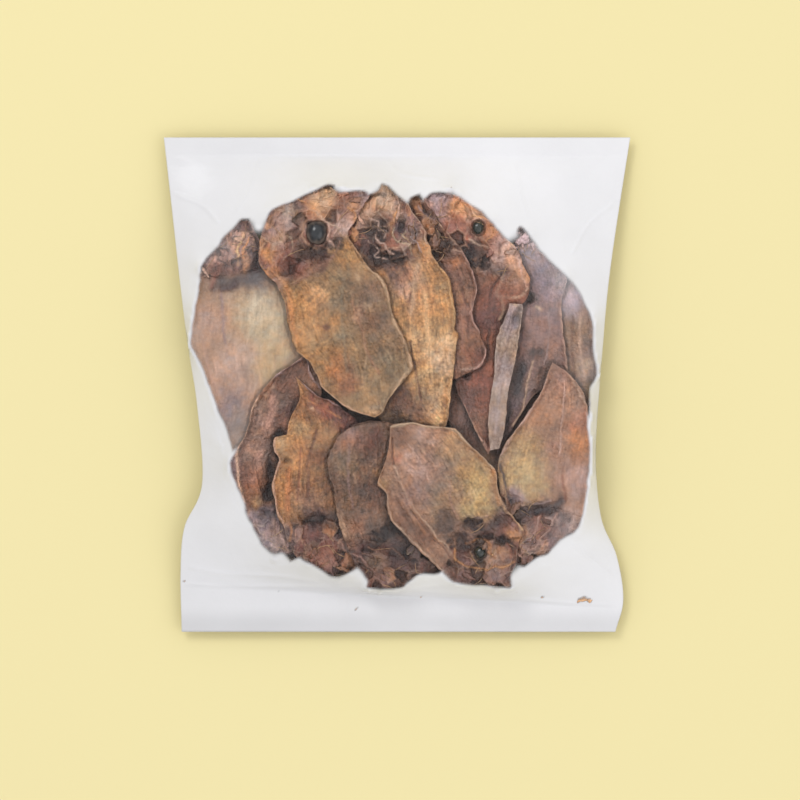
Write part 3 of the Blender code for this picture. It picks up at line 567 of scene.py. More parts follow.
            (-36, 61, 4, "maroon", 0.5), (-58.5, 65, 3, "orange", 0.35), (-36, 92, 3, "rimPink", 0.3)],
        "lines": [(1.3, 1.1, "cream", 1.0, [(-16.7, 61), (-8.4, 52.5), (-4.6, 44), (-2.6, 35.5), (1, 26),
                (5, 17.2), (7.2, 9)]),
            (1.0, 0.9, "cream", 1.0, [(7.2, 9), (1.4, 1.5), (-4, -7.4)]),
            (0.6, 0.6, "rim", 0.8, [(-43.5, 10), (-40, 4), (-36.6, -2), (-30, -7.4), (-23, -12),
                (-14, -15.6)]),
            (1.0, 0.5, "tan", 0.6, [(-22, 41.4), (-16.7, 24.6), (-14.4, 15.4), (-9, 5.5)]),
            (0.7, 0.4, "cream", 0.5, [(-17, 26), (-15.4, 17), (-16, 8)]),
            (1.8, 0.5, "amber", 0.7, [(-63, 62), (-58.5, 54), (-54, 46), (-52.4, 32), (-49.5, 20)]),
            (0.5, -0.6, "brown", 0.9, [(-64, 57), (-59.5, 50.6), (-55.4, 42), (-53.8, 30)]),
            (1.0, 0.6, "pinkTan", 0.6, [(-51.9, 50), (-45, 54.5), (-39.6, 58.3), (-32, 64.4), (-28.4, 71)]),
            (0.5, 0.9, "rim", 0.9, [(-43.5, 86.6), (-36.6, 82.8), (-28.2, 77.4)]),
            (0.5, 0.8, "rim", 0.7, [(-59.5, 86.6), (-54.9, 85), (-51.5, 82)]),
            (0.8, 0.8, "amber", 0.6, [(-24.3, 89), (-20.5, 84.3), (-21.5, 79.7)]),
            (0.7, 0.5, "tan", 0.8, [(-44, 82), (-46.8, 78), (-46.6, 73), (-44, 69.3), (-40.5, 68)]),
            (0.6, 0.7, "rimPink", 0.8, [(-35.5, 82), (-33.4, 77), (-34, 72), (-31, 69)]),
            (0.6, 0.9, "amber", 0.7, [(-50, 92), (-44, 88), (-40, 84), (-33, 84)]),
            (0.5, 0.8, "cream", 0.6, [(-60, 76), (-54, 74), (-52, 68), (-56, 62)]),
            (0.8, 0.9, "pinkTan", 0.6, [(-61, 60), (-57, 68), (-56, 76), (-60, 82)]),
            (0.6, 0.7, "rim", 0.5, [(-27.4, 76), (-22.8, 70.5), (-16.7, 61)]),
            (1.2, -0.4, "greenGrey", 0.6, [(-27, 48), (-27.5, 34), (-26, 18), (-25, 6)])],
    },
    "fishLowerMiddle": {
        "left": [(-13.5, -18), (-4, -19), (4, -23), (9, -33), (11.5, -48), (13.5, -63), (16.5, -78),
            (21, -86), (24.5, -92), (20, -95.5), (12, -95.5), (7, -99), (3.5, -102), (-2.5, -103),
            (-8.5, -103)],
        "right": [(-13.5, -18), (-20.5, -20), (-28.5, -25), (-32, -31), (-34.5, -38), (-34, -45),
            (-31.5, -53), (-30.5, -63), (-27.5, -73), (-24.5, -82), (-21.5, -89), (-16, -98), (-16, -102),
            (-8.5, -103)],
        "level": (30, 22), "roll": -0.06, "neck": (0.6, 0.66), "body": "greyOlive", "head": "brown",
        "grit": 0.9, "tint": (0.89, 0.79, 0.78), "headTint": (0.8, 0.82, 0.92), "ridge": (0.1, 0.3),
        "spots": [(-26, -38.7, 7, "greenGrey", 0.8), (-22, -26.4, 4, "rimGrey", 0.6),
            (-12.9, -25.7, 5, "brown", 0.8), (-12, -56, 8, "brown", 0.7), (-2, -72, 6, "dark", 0.7),
            (-12, -88, 7, "purpleBrown", 0.7), (-12, -30, 7, "brown", 0.6), (-25, -28, 5, "tan", 0.7),
            (-24, -60, 5, "olive", 0.6), (-9, -75.4, (7, 3.6), "dark", 1.0),
            (-18.2, -81.5, 3, "maroon", 0.9), (-9, -89, 5, "olive", 0.5), (-9, -44.5, 3, "gold", 0.9),
            (-3, -50, 4, "brown", 0.8), (-14, -96, 4, "russet", 0.5), (2, -90, 5, "maroon", 0.6),
            (-20, -70, 3, "tan", 0.6), (6, -84, 5, "slateDark", 0.6), (18, -91, 5, "purpleBrown", 0.8),
            (2, -80, 7, "purpleBrown", 0.7), (-5, -73, (6, 4), "dark", 0.9), (-18, -60, 5, "sliver", 0.5),
            (-13, -28, 5, "maroon", 0.4), (-16, -76, 2.5, "tan", 0.6), (-21, -80, 3, "tan", 0.6),
            # the cream spot at -28.4, -67 and the wide cream line below are a painted highlight, a glare
            # strip on the left side
            (-6, -98, 4, "pinkTan", 0.5), (-28.4, -67, (1.7, 4.5), "cream", 0.8)],
        "lines": [(2.4, 0.9, "cream", 1.0, [(-30.4, -63.1), (-28.6, -67.7), (-26.3, -74)]),
            (0.6, -0.3, "brown", 0.7, [(-17, -27), (-14.5, -42), (-14, -56)]),
            (0.7, 0.3, "rimGrey", 0.5, [(-24, -30), (-24.5, -46), (-22, -62)]),
            (0.5, -0.3, "brown", 0.6, [(-20, -26), (-19, -40), (-18, -52)]),
            (0.8, 1.0, "pinkTan", 0.6, [(-22, -84), (-16, -88), (-12, -94)]),
            (0.8, 1.0, "tan", 0.6, [(-14, -82), (-8, -84), (-2, -82), (4, -86)])],
    },
    "fishFront": {
        "left": [(-3.5, -21), (-0.5, -19.5), (7.5, -19), (15.5, -20.5), (27.5, -21.5), (30.5, -23.5),
            (34, -27.5), (41, -34), (46.5, -39.5), (49.3, -43.5), (50.3, -51), (52.5, -58.5), (57.5, -65.5),
            (64, -73), (61.5, -78.5), (59.5, -89), (57, -95), (57.5, -102), (51.5, -102)],
        "right": [(-3.5, -21), (-4, -30.5), (-6.5, -40), (-9.5, -49), (-5.5, -54.5), (-5, -61), (-2, -69),
            (3.5, -75), (11.5, -83), (18, -89.5), (26.5, -98), (30, -100), (47.5, -101.5), (51.5, -102)],
        "level": (32, 25), "roll": 0.0, "neck": (0.59, 0.7), "body": "tan", "head": "russet", "grit": 0.62,
        "tint": (1.05, 1.12, 1.18), "headTint": (0.85, 0.95, 1.1), "eye": (41.7, -84, 3.2, 3.4, 1.0, 4),
        "ridge": (-0.62, 0.2),
        "spots": [(40, -50, 9, "yellow", 0.95), (36.5, -43, 7, "yellow", 0.6), (42, -58, 7, "yellow", 0.8),
            (37, -63, 4.5, "yellow", 0.9), (34, -40, 6, "gold", 0.7), (20, -25, 7, "orange", 0.4),
            (0, -35.6, 3, "redOrange", 0.5), (24.3, -35.6, 5, "greenGrey", 0.6),
            (19.8, -51, 6, "greyOlive", 0.8), (12, -42, 7, "pinkTan", 0.6), (22, -64, 7, "olive", 0.6),
            (10, -56, 6, "mauve", 0.5), (-7, -48, 3, "gold", 0.8), (13, -77, (5, 4), "brown", 0.8),
            (1.5, -68, (4.5, 10), "brown", 0.9), (24, -69, 6, "brown", 0.6), (12, -73, 5, "brown", 0.5),
            (3, -26, 6, "brown", 0.5), (28, -29, 6, "amber", 0.5), (7, -38, 6, "rimPink", 0.5),
            (32, -80, 5, "dark", 0.6), (37, -70, (5.5, 3.4), "dark", 1.0), (31, -77, (5, 4), "dark", 0.95),
            (45, -76, (5, 2), "dark", 0.8), (52.7, -77.7, (4, 2.8), "dark", 1.0),
            (50.4, -85.3, 4, "amber", 0.7), (55, -69.3, 4, "russet", 0.8), (59.5, -76, 3, "amber", 0.7),
            (40, -96, 6, "brown", 0.6), (52, -95, 5, "mauve", 0.5), (31, -84, 4, "redBrown", 0.7),
            (28, -93, 4, "brown", 0.6), (45, -70, 3, "grey", 0.6), (16, -25, 6, "rimPink", 0.5),
            (42, -84, 5, "greenOlive", 0.4), (41.5, -84, 3.4, "greenBlack", 0.8),
            (36, -88, 3, "maroon", 0.5), (48, -92, 5, "tan", 0.5), (1.5, -24, 5, "brown", 0.5),
            (24, -68, 6, "slateDark", 0.5), (51, -88, 4, "tan", 0.5), (21.5, -93, 4, "pinkTan", 0.4),
            (34, -74, (5, 5), "purpleBrown", 0.5), (51.5, -88, 3, "pinkTan", 0.35),
            (29, -28, 6, "paleGold", 0.35)],
        "lines": [(0.9, 0.9, "cream", 0.9, [(-3.2, -20.8), (6.7, -19.4), (18.2, -21.2), (28.3, -22.4),
                (34.4, -28.4), (42, -35.4), (48, -42)]),
            (0.6, -0.6, "brown", 0.8, [(-2.6, -27), (-1.6, -38.7), (2, -54), (8, -63.9), (17.2, -75.4),
                (28, -87.6)]),
            (0.6, 0.7, "rim", 0.6, [(-1.6, -40), (3.6, -53), (9.4, -62.6), (18.6, -74), (29, -86)]),
            (0.9, 1.2, "rim", 0.95, [(-9.4, -49), (-4.7, -55.5), (-3, -66), (4.8, -75), (13.6, -83.6),
                (24, -94), (30, -99)]),
            (2.0, -0.5, "brown", 0.7, [(0, -58), (6, -68), (14, -78), (24, -88)]),
            (1.2, 0.6, "orange", 0.8, [(47.8, -43), (49, -51), (51, -60)]),
            (0.7, 0.9, "amber", 0.8, [(28.9, -82.3), (30.5, -88.4), (38.9, -91.4), (50.4, -91.4),
                (58, -88.4)]),
            (0.7, 0.9, "orange", 0.8, [(34.3, -79.2), (42.7, -77), (46.5, -79.2), (46.5, -84.6),
                (48.8, -87)]),
            (0.7, 1.5, "amberLight", 1.0, [(54, -60.4), (58.8, -66.6), (63.6, -72.4)]),
            (0.9, 0.9, "rimPink", 0.6, [(33, -66), (37, -65), (41, -66.5), (45, -66)]),
            (0.6, 0.4, "rimPink", 0.5, [(6, -30), (12, -40), (16, -48)]),
            (0.7, 0.5, "pinkTan", 0.5, [(26, -48), (27, -58), (30, -66)])],
    },
}


def leafEdges(tail, head, half, skew):  # a plain outline for the fish that don't show from above
    tail, head = np.array(tail, float), np.array(head, float)
    line = head - tail
    across = np.array([-line[1], line[0]]) / np.hypot(*line)
    shares = [(0.0, 0.0), (0.06, 0.42), (0.2, 0.78), (0.4, 1.0), (0.58, 0.94), (0.7, 0.8), (0.82, 0.74),
              (0.92, 0.5), (1.0, 0.0)]
    left = [tail + line * t + across * half * w * (1 + skew * t) for t, w in shares]
    right = [tail + line * t - across * half * w * (1 - skew * t) for t, w in shares]
    return left, right


def plannedFillers():  # plain flesh under the fish that show
    planned = {}
    # the dim tone is painted shade: a dark purple-brown for the shade deep in the gaps between the fish
    gapShade, pale = ("purpleBrown", (1, 1, 1)), ("brown", (1.3, 1.4, 1.6))
    for name, tail, head, level, (tone, tint) in (("fillerLeft", (-30, 60), (-52, -62), 19, gapShade),
                                                  ("fillerMiddle", (8, -70), (0, 66), 20, gapShade),
                                                  ("fillerRight", (40, 62), (62, -66), 19, pale)):
        left, right = leafEdges(tail, head, 30, 0)
        planned[name] = {"left": left, "right": right, "level": (level, level), "roll": 0.0,
                         "neck": (1.3, 1.3), "body": tone, "head": tone, "spots": [], "lines": [],
                         "tint": tint}
    return planned


def plannedBack():  # the lower half of the heap: the same two fans, seen from below
    draw = random.Random(11)
    planned = {}
    bodies = ["olive", "gold", "tan", "greyOlive", "fibreGold", "sliver"]
    for fan, side in (("Upper", 1), ("Lower", -1)):
        count = 6
        for i in range(count):
            spread = (i - (count - 1) / 2) / (count / 2)
            lean = 0.66 * spread + draw.uniform(-0.05, 0.05)
            reach = 99 - 4 * abs(spread) + draw.uniform(-2, 2)
            head = (reach * math.sin(lean) - 1.5, side * reach * math.cos(lean) - 1)
            tail = (26 * spread + draw.uniform(-4, 4), -side * draw.uniform(12, 20))
            left, right = leafEdges(tail, head, draw.uniform(24, 28), draw.uniform(-0.15, 0.15))
            order = abs(i - 2.3)
            across = np.array([head[1] - tail[1], tail[0] - head[0]]) / 115

            def at(share, aside):
                return (tail[0] + (head[0] - tail[0]) * share + across[0] * aside,
                        tail[1] + (head[1] - tail[1]) * share + across[1] * aside)

            tones = ["gold", "orange", "brown", "paleGold", "pinkTan", "greenGrey"]
            spots = [(*at(draw.uniform(0.1, 0.62), draw.uniform(-15, 15)), draw.uniform(4, 10),
                      draw.choice(tones), 0.7) for _ in range(7)]
            spots += [(*at(draw.uniform(0.68, 0.8), draw.uniform(-12, 12)), (5, 3), "dark", 0.9)
                      for _ in range(2)]
            spots += [(*at(draw.uniform(0.75, 0.95), draw.uniform(-9, 9)), 3.5,
                       draw.choice(["amber", "redBrown"]), 0.8) for _ in range(3)]
            lines = [(0.8, 0.8, "rim", 0.8,
                      [at(s, side * (a + draw.uniform(-3, 3))) for s in (0.1, 0.3, 0.5, 0.66)])
                     for a in (-8, 9)]
            lines += [(0.7, 0.9, "rim", 0.7, [at(0.7, a - 6), at(0.76, a), at(0.82, a + 4)])
                      for a in (-4, 6)]
            planned[f"back{fan}{i}"] = {
                "left": left, "right": right, "depth": order,
                "level": (13.5 - 2.2 * order, 11.5 - 2.0 * order), "roll": 0.05 * (1 if i < 2.3 else -1),
                "neck": (0.68, 0.7), "body": draw.choice(bodies),
                "head": draw.choice(["russet", "brown", "mauve"]),
                "spots": spots, "lines": lines, "eye": (*at(0.83, draw.uniform(-5, 5)), 3.4, 3.8, 0.42, 1),
                "ridge": (draw.uniform(-0.2, 0.2), 0.5), "chevrons": draw.choice([0, 0.7]),
            }
    return dict(sorted(planned.items(), key=lambda item: -item[1]["depth"]))


eyeBulge = 0.75  # height of an eye over its middle, as a share of its half length
eyes = []  # x, y, level, both half widths, how cloudy, and which half of the heap
rims = []  # the outlines of the fish that show from above
strands = []  # points, radius and side of each bone thread
flakes = []  # the bone plates that stand up from the heads
outline = {}  # how far the heap reaches in each direction


def findOutline(heights):
    iy, ix = np.nonzero(heights > fishLook["upperFloor"] + 1)
    x, y = ix - mapHalf[0], iy - mapHalf[1]
    angle = np.degrees(np.arctan2(y, x)).astype(int) % 360
    reach = np.zeros(360)
    np.maximum.at(reach, angle, np.hypot(x, y))
    around = np.stack([np.roll(reach, k) for k in range(-3, 4)])
    outline["reach"] = around.min(0) - 1.5


def drawnIn(x, y):  # keeps the lower fish behind the upper ones' outline
    angle = np.degrees(np.arctan2(y, x)) % 360
    low = np.floor(angle).astype(int) % 360
    reach = outline["reach"][low] * (1 - angle % 1) + outline["reach"][(low + 1) % 360] * (angle % 1)
    far = np.hypot(x, y)
    soft = 0.82 * reach
    over = np.clip(far - soft, 0, None)
    room = reach - soft
    near = np.where(far > soft, soft + room * (1 - np.exp(-over / room)), far)
    share = near / np.maximum(far, 1e-6)
    return x * share, y * share


def shapeFish(name, plan, heights, pitch, facing, seed):
    left, right = plan["left"], plan["right"]
    span = [np.hypot(*np.diff(np.array(edge, float), axis=0).T).sum() for edge in (left, right)]
    rows = int(max(span) / pitch)
    leftLine, rightLine = smoothLine(left, rows + 1), smoothLine(right, rows + 1)
    halfWidth = np.hypot(*(leftLine - rightLine).T)[:, None] / 2
    columns = max(6, int(2 * halfWidth.max() / pitch))
    t = np.linspace(0, 1, rows + 1)[:, None] * np.ones((1, columns + 1))
    s = np.linspace(1, -1, columns + 1)[None, :] * np.ones((rows + 1, 1))
    share = (1 - s)[..., None] / 2
    place = leftLine[:, None, :] * (1 - share) + rightLine[:, None, :] * share
    x, y = place[..., 0].copy(), place[..., 1].copy()
    length = sum(span) / 2
    u, v = s * halfWidth, t * length

    # how far in from the rim, with small tears and waves along it
    inside = np.minimum((1 - np.abs(s)) * halfWidth, np.minimum(v + 0.4, (length - v) + 0.4))
    neck = plan["neck"][0] * (1 + s) / 2 + plan["neck"][1] * (1 - s) / 2
    neck = neck + 0.022 * layeredNoise(x, y, 12, seed + 2, 3)
    head = smoothStep(t, neck - 0.012, neck + 0.028)
    wave = layeredNoise(v + 300 * (s > 0), u * 0.2, 8, seed, 3) * (0.45 + 0.9 * head)
    wave = wave + 0.3 * softNoise(v + 300 * (s > 0), u * 0.2, 2.6, seed + 1)
    push = wave * np.exp(-inside / 3.0) * smoothStep(halfWidth, 1, 6)
    centre = (leftLine + rightLine)[:, None, :] / 2
    outward = place - centre
    outward /= np.maximum(np.hypot(outward[..., 0], outward[..., 1]), 1e-6)[..., None]
    x += outward[..., 0] * push
    y += outward[..., 1] * push
    if facing < 0:
        x, y = drawnIn(x, y)

    # lie on what is below, bridging its gaps
    level = plan["level"][0] + (plan["level"][1] - plan["level"][0]) * t + plan["roll"] * u
    nose = np.clip(1 - (length - v) / 16, 0, 1) ** 2
    level = level - 5 * nose
    ground = mapAt(heights, x, y)
    below = ground + 1.2 + 1.0 * head * smoothStep(inside, 0, 6)
    z = np.maximum(level, below)
    for _ in range(40):
        z = np.maximum(blurred(z, 3), below)
        z = z * 0.9 + np.maximum(level, below) * 0.1
    z = blurred(z, 4)

    # the body's own form
    onBody = smoothStep(t, 0.04, 0.16) * (1 - head)
    form = fishLook["crown"] * np.sqrt(np.clip(1 - s * s, 0, 1)) * smoothStep(halfWidth, 2, 15)
    form += fishLook["warp"] * layeredNoise(x, y, 34, seed + 3, 2)
    form += 0.5 * layeredNoise(x, y, 12, seed + 4, 3)
    lively = smoothStep(softNoise(v, s * 4, 15, seed + 5), -0.5, 0.5)
    form += fishLook["curl"] * np.exp(-((inside / 1.6) ** 2)) * (0.2 + 1.0 * lively) * (1 - 0.6 * head)
    ridgeAt, ridgeHeight = plan.get("ridge", (0.0, 0.3))
    ridgeLine = u - ridgeAt * halfWidth - 1.6 * softNoise(v, v * 0, 22, seed + 6)
    ridge = np.exp(-((ridgeLine / 1.3) ** 2)) * onBody
    ridge = ridge * smoothStep(softNoise(x, y, 15, seed + 40), -0.6, 0.4)
    form += ridgeHeight * ridge
    chevron = np.sin((v + 0.6 * np.abs(ridgeLine)) * 2 * math.pi / 3.1 + 2.6 * softNoise(x, y, 8, seed + 7))
    muscle = plan.get("chevrons", 0.35) * onBody * smoothStep(inside, 1.5, 6)
    muscle = muscle * smoothStep(softNoise(x, y, 14, seed + 8), -0.1, 0.7)
    form += 0.11 * chevron * muscle
    bendU, bendV = u + 1.8 * softNoise(x, y, 13, seed + 41), v + 3 * softNoise(x, y, 17, seed + 42)
    streak = softNoise(bendU * 2.2, bendV * 0.3, 3, seed + 9)
    streak = streak + 0.7 * softNoise(bendU * 5, bendV * 0.7, 3, seed + 10)
    form += 0.1 * streak * (1 - head)
    seam, flake = plateNoise(x + 1.1 * softNoise(x, y, 2.4, seed + 43), y * 0.7, 1.5, seed + 44)
    grit = plan.get("grit", 0.6)
    worn = smoothStep(softNoise(x, y, 17, seed + 45), 0.05, 0.75) * (1 - head)
    worn = worn * min(1, max(0, 1.6 * grit - 0.4))
    form += worn * (0.22 * (flake - 0.5) + 0.15 * (seam < 0.12))

    # the head: bone plates at odd levels, thin crests on their seams and dark hollows between
    wx = x + 2.4 * softNoise(x, y, 8, seed + 11) + 0.9 * softNoise(x, y, 2.8, seed + 46)
    wy = y + 2.4 * softNoise(x, y, 8, seed + 12) + 0.9 * softNoise(x, y, 2.8, seed + 47)
    seamWide, plate = plateNoise(wx, wy * 0.8, 6.2, seed + 13)
    seamFine, chip = plateNoise(wx, wy, 2.5, seed + 14)
    lace = smoothStep(softNoise(x, y, 9, seed + 15), -0.5, 0.3)
    crest = np.exp(-((seamWide / 0.13) ** 2)) * lace
    fine = np.exp(-((seamFine / 0.16) ** 2)) * smoothStep(softNoise(x, y, 6, seed + 16), -0.1, 0.5)
    inner = smoothStep(inside, 0, 6)
    hollow = smoothStep(0.3 - plate, 0.0, 0.16) * (1 - crest)
    form += head * (1.8 * smoothStep(inside, 0, 8) + inner * fishLook["plateStep"] * (plate - 0.5))
    form += head * (1.1 * crest + 0.7 * fine + 0.55 * (chip - 0.5) - 1.3 * hollow * inner)
    collar = np.exp(-(((t - neck - 0.03) * length / 3.6) ** 2)) * smoothStep(inside, 1.0, 7)
    collar = collar * smoothStep(softNoise(x, y, 11, seed + 17), -0.6, 0.2)
    form -= fishLook["collarDepth"] * collar

    # hollows and lines of its own
    pit = np.zeros_like(form)
    for px, py, radius, tone, strength in plan["spots"]:
        if tone in hollowTones:
            rx, ry = radius if isinstance(radius, tuple) else (radius, radius)
            deep = np.exp(-(((x - px) / (0.75 * rx)) ** 2 + ((y - py) / (0.75 * ry)) ** 2))
            pit = np.maximum(pit, hollowTones[tone] * strength * deep)
    form -= 2.4 * pit * smoothStep(inside, 0, 3)
    stray = fishLook["wander"] * (1 + 1.0 * head)
    strayX = x + stray * (softNoise(x, y, 4.5, seed + 48) + 0.5 * softNoise(x, y, 1.8, seed + 38))
    strayY = y + stray * (softNoise(x, y, 4.5, seed + 49) + 0.5 * softNoise(x, y, 1.8, seed + 39))
    drawn = []
    for width, height, tone, strength, points in plan["lines"]:
        broken = 0.35 + 0.75 * smoothStep(softNoise(x, y, 6, seed + 50 + len(drawn)), -0.6, 0.3)
        near = np.exp(-((lineDistance(strayX, strayY, points) / (0.78 * width)) ** 2)) * broken
        form += height * near
        drawn.append((near, tone, strength))
    socket = np.zeros_like(form)
    if "eye" in plan:
        ex, ey, rx, ry, sink, cloud = plan["eye"]
        if facing < 0:
            ex, ey = (float(c) for c in drawnIn(np.array(ex), np.array(ey)))
        far = np.hypot((x - ex) / rx, (y - ey) / ry) * ry
        far = far * (1 + 0.13 * softNoise(x, y, 2.6, seed + 55)) + 0.35 * softNoise(x, y, 5, seed + 56)
        socket = smoothStep(ry + 0.5 - far, 0, 1.0)
        lip = np.exp(-(((far - ry - 0.1) / 0.9) ** 2)) * (0.8 + 0.7 * softNoise(x, y, 3.2, seed + 57))
        ringed = smoothStep(ry + 3 - far, 0, 2.5)
        flat = (z + form)[far < ry * 2].mean() if (far < ry * 2).any() else z.mean()
        form = form * (1 - 0.7 * ringed) + 0.7 * (flat - z) * ringed + 1.9 * lip - 2.4 * socket
        level = flat - ry * sink
        if facing < 0:
            level = min(level, fishLook["lowerLimit"] - eyeBulge * ry)
        eyes.append((ex, ey, level, rx, ry, cloud, facing))
    top = z + form
    if facing < 0:
        top = np.minimum(top, fishLook["lowerLimit"])
    else:
        rims.append(np.concatenate([np.stack([x[:, 0], y[:, 0]], 1), np.stack([x[-1], y[-1]], 1),
                                    np.stack([x[::-1, -1], y[::-1, -1]], 1)])[::2])
    thick = fishLook["bodyThickness"] + (fishLook["headThickness"] - fishLook["bodyThickness"]) * head
    thick = thick * np.clip(inside / 5, 0.0, 1) ** 0.6 + 0.15
    bottom = np.minimum(np.maximum(top - thick, ground + 0.1), top - 0.3)
    raiseMap(heights, x, y, top)
    parts = SimpleNamespace(x=x, y=y, u=u, v=v, t=t, inside=inside, head=head, collar=collar, pit=pit,
                            socket=socket, crest=crest, fine=fine, plate=plate, chip=chip,
                            hollow=hollow * inner, chevron=chevron * muscle, streak=streak, ridge=ridge,
                            worn=worn, flake=flake, seam=seam, drawn=drawn, top=top, lively=lively)
    paint = paintFish(plan, parts, seed)
    if plan["neck"][0] < 1:
        addStrands(parts, neck, facing, seed)
        addFlakes(parts, heights, paint, facing, seed)
    return fishMesh(name, plan, parts, bottom, paint, facing)


def mixed(color, other, amount):
    return color * (1 - amount[..., None]) + toLinear(other) * amount[..., None]


def paintFish(plan, f, seed):
    x, y = f.x, f.y
    color = np.ones(x.shape + (3,)) * toLinear(palette[plan["body"]])
    color = mixed(color, palette["gold"], 0.3 * smoothStep(layeredNoise(x, y, 22, seed + 20), 0.0, 0.8))
    color = mixed(color, palette["brown"], 0.3 * smoothStep(layeredNoise(x, y, 16, seed + 21), 0.1, 0.9))
    headColor = np.ones_like(color) * toLinear(palette[plan["head"]])
    # head tones follow the relief, partly the bone's own tones and partly painted light and shade: higher
    # plates paler, raised chips lighter, crests pale, hollows dark
    for low, high, tone, amount in ((0.86, 0.92, "amber", 0.45), (0.7, 0.76, "rimPink", 0.45),
                                    (0.55, 0.6, "mauve", 0.5), (0.42, 0.46, "redBrown", 0.5)):
        band = smoothStep(f.plate, low, high) * smoothStep(high + 0.14 - f.plate, 0, 0.05)
        headColor = mixed(headColor, palette[tone], amount * band)
    headColor = headColor * (1 + 0.7 * (f.chip - 0.5))[..., None]
    headColor = mixed(headColor, palette["dark"], 0.7 * f.hollow)
    headColor = mixed(headColor, palette["rim"], np.clip(0.5 * f.crest + 0.35 * f.fine, 0, 0.75))
    color = color * (1 - f.head[..., None]) + headColor * f.head[..., None]
    ragged = softNoise(x, y, 1.7, seed + 62) + 0.6 * softNoise(x, y, 4, seed + 63)
    warpX = x + 3.0 * softNoise(x, y, 8, seed + 23) + 1.0 * softNoise(x, y, 2.5, seed + 33)
    warpY = y + 3.0 * softNoise(x, y, 8, seed + 24) + 1.0 * softNoise(x, y, 2.5, seed + 34)
    for px, py, radius, tone, strength in plan["spots"]:
        rx, ry = radius if isinstance(radius, tuple) else (radius, radius)
        near = np.exp(-(((warpX - px) / rx) ** 2 + ((warpY - py) / ry) ** 2))
        near = np.clip(near * 1.3, 0, 1)
        if tone in ("dark", "greenBlack"):  # crests still cross the hollows
            near = smoothStep(near + 0.16 * ragged, 0.32, 0.66) * (1 - 0.7 * f.crest) * (1 - 0.4 * f.fine)
        near = np.clip(near * (1 + 0.3 * ragged), 0, 1)
        color = mixed(color, palette[tone], strength * near)
    # brightness rises with the chevron, streak and ridge relief: partly the flesh's own paler lines, partly
    # painted light on the raised parts
    shade = 1 + 0.13 * f.chevron + 0.11 * f.streak * (1 - f.head) + 0.1 * f.ridge
    rough = plan.get("grit", 0.6) * (1 - f.head) + 0.75 * f.head
    shade = shade * (1 + 0.3 * rough * layeredNoise(x, y, 7, seed + 25))
    shade = shade * (1 + 0.1 * rough * softNoise(x, y, 1.7, seed + 28))
    shade = shade * (1 + f.worn * (0.3 * (f.flake - 0.5) - 0.12 * (f.seam < 0.1)))
    deep = layeredNoise(x + 2 * f.streak, y, 4.2, seed + 35, 3)
    shade = shade * (1 + rough * (0.4 * smoothStep(-deep, 0.2, 0.8) - 0.45 * smoothStep(deep, 0.2, 0.8)))
    color = color * np.clip(shade, 0.35, 1.7)[..., None]
    hue = 0.6 * softNoise(x, y, 6, seed + 64) + 0.7 * softNoise(x, y, 2.2, seed + 65)
    color = color * (1 + (0.08 + 0.08 * rough)[..., None] * hue[..., None] * np.array([0.9, 0, -1.1]))
    # cream on the highest flakes of worn skin: partly pale crumbs, partly painted glints
    color = mixed(color, palette["cream"], 0.3 * f.worn * smoothStep(f.flake, 0.9, 0.95))
    speck = smoothStep(softNoise(x, y, 1.8, seed + 26), 0.55, 0.8) * 0.45
    color = mixed(color, palette["brown"], speck * rough)
    # painted shade: darker in the sunk collar at the neck and in the sunk pits
    color = mixed(color, palette["dark"], 0.6 * f.collar)
    color = mixed(color, palette["dark"], 0.6 * f.pit)
    for near, tone, strength in f.drawn:
        color = mixed(color, palette[tone], np.clip(strength * near * 1.1, 0, 1))
    # painted shade in the eye socket
    color = mixed(color, palette["dark"], 0.3 * f.socket)
    # a pale rim, paler where it curls: partly the thin edge's own tone, partly a painted highlight on the
    # curl; the brown band 2.6 mm in is a painted shadow behind it, on the body only
    pale = np.exp(-((f.inside / 0.8) ** 2)) * (0.1 + 0.8 * f.lively**2)
    under = np.exp(-(((f.inside - 2.6) / 1.3) ** 2)) * 0.3
    under = under * smoothStep(softNoise(x, y, 10, seed + 29), -0.4, 0.6)
    color = mixed(color, palette["brown"], under * (1 - f.head))
    color = mixed(color, palette["rim"], np.clip(pale, 0, 1) * (0.3 - 0.15 * f.head))
    onHead = f.head[..., None]
    color = color * fishLook["tint"] * (np.array(plan.get("tint", (1, 1, 1))) * (1 - onHead)
                                        + np.array(plan.get("headTint", (1.04, 1.03, 1.06))) * onHead)
    return np.clip(color, 0.004, 0.9)


def placed(name, data):
    piece = bpy.data.objects.new(name, data)
    bpy.context.scene.collection.objects.link(piece)
    return piece


def newPiece(name, points, faces, color=None, fibre=None, grit=None):
    mesh = bpy.data.meshes.new(name)
    mesh.from_pydata((np.asarray(points) * mm).tolist(), [], [list(map(int, face)) for face in faces])
    if color is not None:
        if grit is None:
            grit = np.ones(len(color))
        color = np.concatenate([color, np.asarray(grit).reshape(-1, 1)], 1).astype(np.float32)
        mesh.attributes.new("tone", "FLOAT_COLOR", "POINT").data.foreach_set("color", color.ravel())
    if fibre is not None:
        fibre = (np.asarray(fibre) * mm).astype(np.float32)
        mesh.attributes.new("fibre", "FLOAT_VECTOR", "POINT").data.foreach_set("vector", fibre.ravel())
    return placed(name, mesh)


def tidied(piece):  # joins doubled points, drops loose ones and turns the faces outwards
    bm = bmesh.new()
    bm.from_mesh(piece.data)
    loose = [vert for vert in bm.verts if not vert.link_faces]
    bmesh.ops.delete(bm, geom=loose, context="VERTS")
    bmesh.ops.remove_doubles(bm, verts=bm.verts, dist=0.02 * mm)
    bmesh.ops.dissolve_degenerate(bm, edges=bm.edges, dist=0.01 * mm)
    bmesh.ops.recalc_face_normals(bm, faces=bm.faces)
    bm.to_mesh(piece.data)
    bm.free()
    piece.data.shade_smooth()
    return piece


